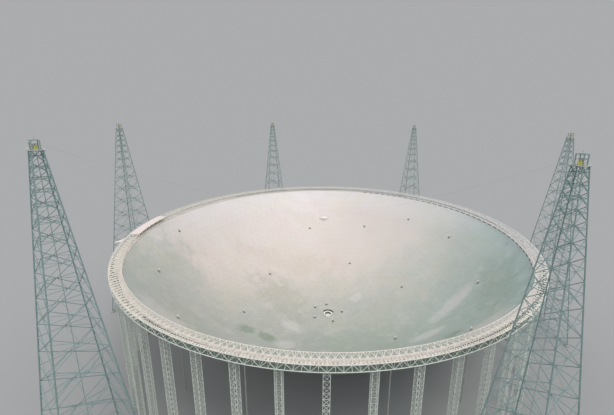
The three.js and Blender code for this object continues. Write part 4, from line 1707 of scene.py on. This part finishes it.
    def sheave(self) -> Piece:
        """The sheave's two rims, hub, spokes and axle. A rim is the circle (0, r cos a, r sin a).

        Returns:
            The piece.
        """
        shape = Shape()
        hub = np.array([0, 0, self.floor + self.axle_height])
        angles = np.linspace(0, 2 * math.pi, self.sheave_sides + 1)
        circle = np.stack([0 * angles, np.cos(angles), np.sin(angles)], axis=-1)
        for radius, width in self.sheave_rims:
            widths = self.stepped(width, self.sheave_sides)
            for side in (-1, 1):
                rim = radius * circle + hub + (side * self.sheave_width / 2, 0, 0)
                self.tower.add(shape, rim[:-1], rim[1:], widths, 6)
        ends = circle[:-1:self.sheave_sides // self.spokes] * (self.sheave_radius - self.spoke / 2)
        self.tower.add(shape, hub, ends + hub, self.spoke, 4)
        reach = (self.axle_reach, 0, 0)
        self.tower.add(shape, hub - reach, hub + reach, self.axle, 8)
        return shape.build(f"tower_{self.tower.number}_sheave", Palette.RECEIVER)

    def bearings(self) -> Piece:
        """The two bearing plates of the sheave and the gearbox beside them.

        Returns:
            The piece.
        """
        shape = Shape()
        for side in (-1, 1):
            self.cheek(shape, side * self.cheek_offset)
        centre = self.tower.place(np.array([self.gearbox_place]) + (0, 0, self.floor))
        shape.boxes(centre, self.gearbox, self.tower.bearing)
        return shape.build(f"tower_{self.tower.number}_bearings", Palette.YELLOW)

    def cheek(self, shape: Shape, across: float) -> None:
        """Adds one bearing plate of the sheave, which narrows towards the axle.

        Its outline is in real metres from the middle and in shares of the axle's height.

        Args:
            shape: The shape to add to.
            across: How far the plate's middle is from the tower's axis.
        """
        half = self.cheek_thickness / 2
        profile = np.array(self.cheek_outline)
        count = len(profile)
        y, z = profile[:, 0] * METRE, self.floor + profile[:, 1] * self.axle_height
        sides = [np.stack([np.full(count, across + step), y, z], axis=-1) for step in (-half, half)]
        front = np.arange(count)
        following = np.roll(front, -1)
        quads = np.stack([front, front + count, following + count, following], axis=-1)
        shape.put(self.tower.place(np.concatenate(sides)), [front[None], front[None, ::-1] + count, quads])

    def lamp(self) -> None:
        """Makes the white lamp housing that hangs from the outer beam of the top frame."""
        shape = Shape()
        height = self.floor + self.height - self.post
        place = np.array([self.lamp_across, (self.span - self.post) / 2, height])
        centre = self.tower.place(place - (0, 0, self.lamp_drop))
        shape.boxes(centre, self.lamp_housing, self.tower.bearing)
        across, rise = self.hanger_offset
        hangers = place + np.array([(-across, 0, rise), (across, 0, rise)])
        self.tower.add(shape, hangers, hangers + (0, 0, self.hanger_length), self.hanger, 4)
        shape.build(f"tower_{self.tower.number}_lamp", Palette.WHITE)

    def build(self) -> None:
        """Makes the head's pieces and hides the plain head."""
        name = f"tower_{self.tower.number}_head"
        for piece in (self.frame(), self.rails(), self.grating(), self.sheave(), self.bearings()):
            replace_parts(piece, name)
        self.lamp()


# The feed cabin and its cables


@dataclass
class FeedCabin:
    """The hanging cabin: a six-sided star frame, a drum with a ribbed roof, and the receiver."""

    bearings: Array
    centre: Array = field(init=False)
    star_radius: float = 6.5 * METRE
    star_height: float = 2.2 * METRE
    bar: float = 0.26 * METRE
    brace_shares: Pair = (0.55, 0.52)
    spoke_share: float = 0.8
    tie_share: float = 0.5
    rail: float = 0.09 * METRE
    rail_height: float = 1.0 * METRE
    roofed_bays: tuple[int, ...] = (0, 1, 3, 4)
    roof_thickness: float = 0.12 * METRE
    roof_margin: float = 0.2 * METRE
    hub_margin: float = 0.1 * METRE
    drum_radius: float = 4.4 * METRE
    drum_height: float = 3 * METRE
    drum_band: float = 0.06 * METRE
    eaves: float = 0.18 * METRE
    cap_radius: float = 0.7 * METRE
    roof_rise: float = 1.5 * METRE
    cap_foot_share: float = 0.85
    rib_end_share: float = 0.87
    rib: float = 0.1 * METRE
    rib_step: int = 15
    receiver_radius: float = 1.6 * METRE
    receiver_drop: float = 2.6 * METRE
    receiver_profile: tuple[Pair, ...] = (
        (0.35, 0), (0.62, 0.7), (0.62, 1.0), (1, 1.0), (1, 1.35), (0.5, 1.45),
    )
    strut_foot: Pair = (0.9, 1.3)
    strut_top: float = -0.02 * METRE
    strut: float = 0.14 * METRE
    strut_lean: float = 22
    lug: float = 0.6 * METRE
    near_axis: float = 0.1 * METRE

    def __post_init__(self) -> None:
        """Reads the cabin's place from the frame."""
        low, high = np.array(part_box("feed_cabin_drum"))
        self.centre = np.array([*((low + high)[:2] / 2), low[2]])

    def corner(self, radius: float, height: float) -> Array:
        """The six points of the star frame at a radius, on the towers' bearings."""
        return polar(self.bearings, radius, height) + self.centre

    def star(self) -> None:
        """Makes the star frame: two hexagons, posts, crossed bracing, spokes, lugs and a handrail."""
        shape = Shape()
        tip, hub = self.star_radius - self.bar / 2, self.drum_radius + self.hub_margin
        low, high = self.corner(tip, 0), self.corner(tip, self.star_height)
        hub_low, hub_high = self.corner(hub, 0), self.corner(hub, self.star_height)
        for ring in (low, high):
            shape.bars(ring, onward(ring), self.bar)
        shape.bars(low, high, self.bar)
        rising, falling = self.brace_shares
        shape.bars(low, onward(high), self.bar * rising)
        shape.bars(high, onward(low), self.bar * falling)
        shape.bars(low, hub_low, self.bar * self.spoke_share)
        shape.bars(high, hub_high, self.bar * self.spoke_share)
        shape.bars(low, hub_high, self.bar * self.tie_share)
        lugs = self.corner(self.star_radius + self.lug / 4, self.star_height)
        shape.boxes(lugs, (self.lug, self.lug / 2, self.lug), self.bearings)
        handrail = self.corner(tip, self.star_height + self.rail_height)
        shape.bars(handrail, onward(handrail), self.rail)
        shape.bars(high, handrail, self.rail)
        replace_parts(shape.build("cabin_star", Palette.CABIN), "feed_cabin_star_frame")

    def bays(self) -> None:
        """Makes the roof plates over some of the bays between the star's arms."""
        level = self.star_height + self.bar / 2
        outer = self.corner(self.star_radius, level)
        hub = self.corner(self.drum_radius + self.roof_margin, level)
        plates = np.stack([outer, onward(outer), onward(hub), hub], axis=1)
        plates = plates[list(self.roofed_bays)]
        shape = Shape()
        shape.slabs(plates, plates + (0, 0, self.roof_thickness))
        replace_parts(shape.build("cabin_bay_roofs", Palette.CABIN), "feed_cabin_star_frame")

    def drum(self) -> None:
        """Makes the drum: a wall with raised bands, a conical roof with ribs, and a cap."""
        radius, height, band, cap = self.drum_radius, self.drum_height, self.drum_band, self.cap_radius
        eaves, top = radius + self.eaves, height + self.roof_rise
        shape = Shape()
        profile = [(self.near_axis, 0), (radius, 0)]
        for base in np.linspace(0.1, 0.9, 4) * height:
            profile += [(radius, base - band), (radius + band, base), (radius, base + band)]
        profile += [(radius, height), (eaves, height), (eaves, height + band),
                    (cap, height + self.roof_rise * self.cap_foot_share), (cap, top), (self.near_axis, top)]
        shape.turned(profile, 48, self.centre, closed=False)
        ribs = np.arange(0, 360, self.rib_step)
        shape.bars(polar(ribs, radius + self.rib, height + band) + self.centre,
                   polar(ribs, cap, height + self.roof_rise * self.rib_end_share) + self.centre, self.rib)
        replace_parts(shape.build("cabin_drum", Palette.CABIN, smooth=True), "feed_cabin_drum")

    def receiver(self) -> None:
        """Makes the receiver: a lower platform on six struts, with the feed horn under it.

        The profile is in shares of its radius and in real metres above its mouth.
        """
        radius, mouth = self.receiver_radius, -self.receiver_drop
        profile = [(radius * share, mouth + rise * METRE) for share, rise in self.receiver_profile]
        profile = [(self.near_axis, profile[0][1]), *profile, (self.near_axis, profile[-1][1])]
        shape = Shape()
        shape.turned(profile, 36, self.centre, closed=False)
        bearings = np.arange(0, 360, 60)
        share, rise = self.strut_foot
        under = polar(bearings, radius * share, mouth + rise * METRE) + self.centre
        for lean in (self.strut_lean, -self.strut_lean):
            shape.bars(under, polar(bearings + lean, radius, self.strut_top) + self.centre, self.strut, 8)
        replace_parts(shape.build("cabin_receiver", Palette.RECEIVER, smooth=True), "feed_cabin_receiver")

    def build(self) -> None:
        """Makes the cabin's pieces."""
        self.star()
        self.bays()
        self.drum()
        self.receiver()
        LOG.info("feed cabin at %s", np.round(self.centre, 3))


@dataclass
class SuspensionCable:
    """One cable from a lug of the star frame to the sheave on a tower, with its sag."""

    cabin: FeedCabin
    head: TowerHead
    diameter: float = 0.046 * METRE
    sag: float = 4 * METRE
    slope: float = 27
    steps: int = 48
    seat: float = 0.0003
    anchor_rise: float = 0.225 * METRE
    socket: float = 0.16 * METRE
    socket_length: float = 0.9 * METRE

    def path(self) -> Array:
        """Points along the cable: a straight line less a parabola, z = line - 4 sag t (1 - t).

        Returns:
            The points, one row each.
        """
        cabin, head = self.cabin, self.head
        lean = math.radians(self.slope)
        anchor = cabin.star_radius + cabin.lug / 2 + self.seat + self.diameter / 2 * math.sin(lean)
        start = polar(head.tower.bearing, anchor, cabin.star_height + self.anchor_rise)[0] + cabin.centre
        reach = head.sheave_radius + self.diameter / 2 + self.seat
        height = head.floor + head.axle_height + reach * math.cos(lean)
        end = head.tower.place(np.array([[0, -reach * math.sin(lean), height]]))[0]
        share = np.linspace(0, 1, self.steps + 1)[:, None]
        line = start + (end - start) * share
        return line - (0, 0, 4 * self.sag) * share * (1 - share)

    def build(self) -> None:
        """Makes the cable with the socket that holds it to its lug."""
        path = self.path()
        shape = Shape()
        shape.tube(path, self.diameter)
        along = unit(path[1] - path[0])
        shape.bars(path[0], path[0] + along * self.socket_length, self.socket, 8)
        number = self.head.tower.number
        piece = shape.build(f"cable_{number}", Palette.ROPE, smooth=True)
        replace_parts(piece, f"suspension_cable_{number}")


# The docking platform


@dataclass
class DockingPlatform:
    """A ring deck with a handrail on a trestle in the opening, in a near-black well of painted shade with an
    apron round it.
    """

    legs: int = 6
    leg: float = 0.5 * METRE
    beam: float = 0.6 * METRE
    beam_drop: float = 0.35 * METRE
    braces: Pair = (0.16 * METRE, 0.15 * METRE)
    brace_foot: float = 0.25 * METRE
    deck_width: float = 2 * METRE
    lip: float = 0.12 * METRE
    rail: float = 0.09 * METRE
    stanchion: float = 0.08 * METRE
    stanchion_step: int = 15
    knee_height: float = 0.55 * METRE
    rail_height: float = 1.1 * METRE
    shade_well_radius: float = 8.84 * METRE
    shade_well_wall: float = 0.1 * METRE
    shade_well_drop: float = 0.02 * METRE
    shade_well_foot: float = 0.001
    near_axis: float = 0.01 * METRE
    plinth_radius: float = 4.2 * METRE
    plinth_foot: float = 0.1 * METRE
    plinth_height: float = 1.7 * METRE
    apron_gap: float = 0.3 * METRE
    apron_thickness: float = 0.15 * METRE
    apron_outer: float = 9.4 * METRE
    apron_bearings: Pair = (80, 292)
    landing_bearings: Pair = (155, 197)
    landing_outer: float = 9.9 * METRE

    def plinth(self) -> None:
        """Makes the plinth in the middle of the well, which the cabin's foot can rest on."""
        axis, radius = self.near_axis, self.plinth_radius
        base, top = self.plinth_foot, self.plinth_height
        shape = Shape()
        shape.turned([(axis, base), (radius, base), (radius, top), (axis, top)], 36, closed=False)
        shape.build("dock_plinth", Palette.GIRDER)

    def apron(self, deck_radius: float) -> None:
        """Makes the slab over the gap round the deck, open at the far side, and the landing on it.

        Args:
            deck_radius: Outer radius of the deck.
        """
        inner, thick = deck_radius + self.apron_gap, self.apron_thickness
        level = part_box("reflector_opening_rim")[1][2]
        for name, finish, outer, bearings in (
            ("dock_apron", Palette.CONCRETE, self.apron_outer, self.apron_bearings),
            ("dock_landing", Palette.PLANK, self.landing_outer, self.landing_bearings),
        ):
            shape = Shape()
            shape.turned([(inner, level), (outer, level), (outer, level + thick), (inner, level + thick)],
                         36, bearings=bearings)
            shape.build(name, finish)
            level += thick

    def shade_well(self) -> None:
        """Makes the near-black well of painted shade that the trestle stands in: a thin wall up to the rim,
        and its floor.
        """
        radius, wall, foot = self.shade_well_radius, self.shade_well_wall, self.shade_well_foot
        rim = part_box("reflector_opening_rim")[1][2] - self.shade_well_drop
        shape = Shape()
        shape.turned([
            (self.near_axis, foot), (radius, foot), (radius, rim), (radius - wall, rim),
            (radius - wall, foot + wall), (self.near_axis, foot + wall),
        ], 60, closed=False)
        shape.build("dock_painted_shade_well", Palette.DARK, smooth=True)

    def deck(self, outer: float, under: float, top: float) -> None:
        """Makes the ring deck with a lip on both sides and the handrail on its outer lip.

        Args:
            outer: Outer radius of the deck.
            under: Height of its underside.
            top: Height of its lips.
        """
        inner, lip = outer - self.deck_width, self.lip
        shape = Shape()
        shape.turned([
            (inner, under), (outer, under), (outer, top), (outer - lip, top), (outer - lip, top - lip),
            (inner + lip, top - lip), (inner + lip, top), (inner, top),
        ], 48)
        foot = polar(np.arange(0, 360, self.stanchion_step), outer - lip, top)
        for rise in (self.knee_height, self.rail_height):
            ring = foot + (0, 0, rise)
            shape.bars(ring, onward(ring), self.rail)
        shape.bars(foot, foot + (0, 0, self.rail_height), self.stanchion)
        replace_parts(shape.build("dock_deck", Palette.WHITE), "docking_platform_deck")

    def trestle(self, middle: float, top: float) -> None:
        """Makes the ring beam under the deck, the legs and their crossed braces.

        Args:
            middle: Radius of the beam.
            top: Height of the beam's middle.
        """
        shape = Shape()
        around = polar(np.arange(0, 360, self.stanchion_step), middle, top)
        shape.bars(around, onward(around), self.beam)
        feet = polar(np.arange(self.legs) * 360 / self.legs, middle, 0)
        heads = feet + (0, 0, top)
        shape.bars(feet, heads, self.leg)
        raised = feet + (0, 0, self.brace_foot)
        rising, falling = self.braces
        shape.bars(raised, onward(heads), rising)
        shape.bars(onward(raised), heads, falling)
        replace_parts(shape.build("dock_trestle", Palette.GIRDER), "docking_platform_trestle")

    def build(self) -> None:
        """Makes the deck and the trestle from the boxes of the plain ones, and the well with its apron."""
        low, high = np.array(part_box("docking_platform_deck"))
        outer, top, under = high[0], high[2], low[2]
        self.shade_well()
        self.plinth()
        self.apron(outer)
        self.deck(outer, under, top)
        self.trestle(outer - self.deck_width / 2, under - self.beam_drop)
        LOG.info("docking platform: deck, trestle and well")


# The studio


@dataclass(frozen=True)
class Sun:
    """A distant light that fills a wide angle of the sky."""

    name: str
    strength: float
    width: float
    tilt: Pair
    colour: Colour

    @property
    def on_level_ground(self) -> float:
        """Strength times the cosine of the tilt away from straight overhead."""
        return self.strength * math.prod(math.cos(math.radians(angle)) for angle in self.tilt)

    def build(self) -> None:
        """Makes the light, tilted from straight down about the x and y axes."""
        light = bpy.data.lights.new(self.name, "SUN")
        light.energy = self.strength
        light.angle = math.radians(self.width)
        light.color = self.colour
        sun = bpy.data.objects.new(self.name, light)
        sun.rotation_euler = (*np.radians(self.tilt), 0)
        bpy.context.scene.collection.objects.link(sun)


@dataclass
class Studio:
    """Floor, light and the photograph's view."""

    ring_top: float
    distance: float = 433.05 * METRE
    rise: float = 153.75 * METRE
    pitch: float = 13.575
    roll: float = 0.956
    focal: float = 320.52
    principal: Pair = (329.90, 192.97)
    picture: tuple[int, int] = (614, 415)
    sensor: float = 36
    floor_reach: float = 3000.0
    sky_colour: Colour = (0.97, 0.985, 1.0)
    sky_strength: float = 0.42
    suns: tuple[Sun, ...] = (
        Sun("overcast_zenith", 1.15, 130, (0, 0), (1.0, 0.99, 0.98)),
        Sun("soft_sun", 0.95, 24, (24, 16), (1.0, 0.97, 0.92)),
    )

    @property
    def floor_colour(self) -> Array:
        """The floor's colour, which sends back as much light as the sky behind it shows.

        A level surface gets S from a sky of brightness S and E cos(tilt) / pi from a sun, so the
        colour is S / (S + sum of E cos(tilt) / pi).

        Returns:
            The colour's three parts.
        """
        sky = np.array(self.sky_colour) * self.sky_strength
        suns = sum(np.array(sun.colour) * sun.on_level_ground / math.pi for sun in self.suns)
        return sky / (sky + suns)

    def floor(self) -> None:
        """Makes the pale floor, four corners far beyond the model."""
        reach = self.floor_reach
        mesh = bpy.data.meshes.new("floor")
        mesh.from_pydata([(-reach, -reach, 0), (reach, -reach, 0), (reach, reach, 0), (-reach, reach, 0)], [],
                         [(0, 1, 2, 3)])
        kit = NodeKit("floor_pale")
        kit.shader.inputs["Base Color"].default_value = (*self.floor_colour, 1)
        kit.shader.inputs["Roughness"].default_value = 1.0
        kit.shader.inputs["Specular IOR Level"].default_value = 0.0
        mesh.materials.append(kit.material)
        floor = bpy.data.objects.new("floor", mesh)
        bpy.context.scene.collection.objects.link(floor)

    def lights(self) -> None:
        """Sets an even pale sky, a very broad light overhead and a soft sun high on the right."""
        world = bpy.data.worlds.new("soft_sky")
        world.use_nodes = True
        background = world.node_tree.nodes["Background"]
        background.inputs["Color"].default_value = (*self.sky_colour, 1)
        background.inputs["Strength"].default_value = self.sky_strength
        bpy.context.scene.world = world
        for sun in self.suns:
            sun.build()

    def camera(self) -> None:
        """Places the camera: level distance, height, pitch and roll, and the lens's own middle."""
        data = bpy.data.cameras.new("view")
        width, height = self.picture
        data.sensor_width = self.sensor
        data.lens = data.sensor_width * self.focal / width
        data.shift_x = -(self.principal[0] - width / 2) / width
        data.shift_y = (self.principal[1] - height / 2) / width
        data.clip_end = 2 * self.floor_reach
        camera = bpy.data.objects.new("view", data)
        tilt, turn = math.radians(self.pitch), math.radians(self.roll)
        forward = np.array([0, math.cos(tilt), -math.sin(tilt)])
        level, above = np.array([1.0, 0, 0]), np.array([0, math.sin(tilt), math.cos(tilt)])
        right = level * math.cos(turn) + above * math.sin(turn)
        up = above * math.cos(turn) - level * math.sin(turn)
        matrix = np.eye(4)
        matrix[:3, 0], matrix[:3, 1], matrix[:3, 2] = right, up, -forward
        matrix[:3, 3] = (0, -self.distance, self.ring_top + self.rise)
        camera.matrix_world = Matrix(matrix.tolist())
        bpy.context.scene.collection.objects.link(camera)
        bpy.context.scene.camera = camera

    def build(self) -> None:
        """Makes the floor, the lights and the camera, and shows plain display colours."""
        bpy.context.scene.view_settings.view_transform = "Standard"
        self.floor()
        self.lights()
        self.camera()


def main() -> None:
    """Loads the frame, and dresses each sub-assembly in turn."""
    logging.basicConfig(level=logging.INFO, format="%(name)s: %(message)s")
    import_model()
    sphere = Sphere()
    girder = RingGirder(sphere)
    Studio(girder.high).build()
    Reflector(sphere).build()
    Pillars(sphere).build()
    girder.build()
    towers = [LatticeTower(number, girder.high) for number in range(1, TOWERS + 1)]
    heads = [TowerHead(tower) for tower in towers]
    for part in (*towers, *heads):
        part.build()
    LOG.info("towers: %d", len(towers))
    cabin = FeedCabin(np.array([tower.bearing for tower in towers]))
    cabin.build()
    for head in heads:
        SuspensionCable(cabin, head).build()
    LOG.info("suspension cables: %d", len(heads))
    DockingPlatform().build()


if __name__ == "__main__":
    main()
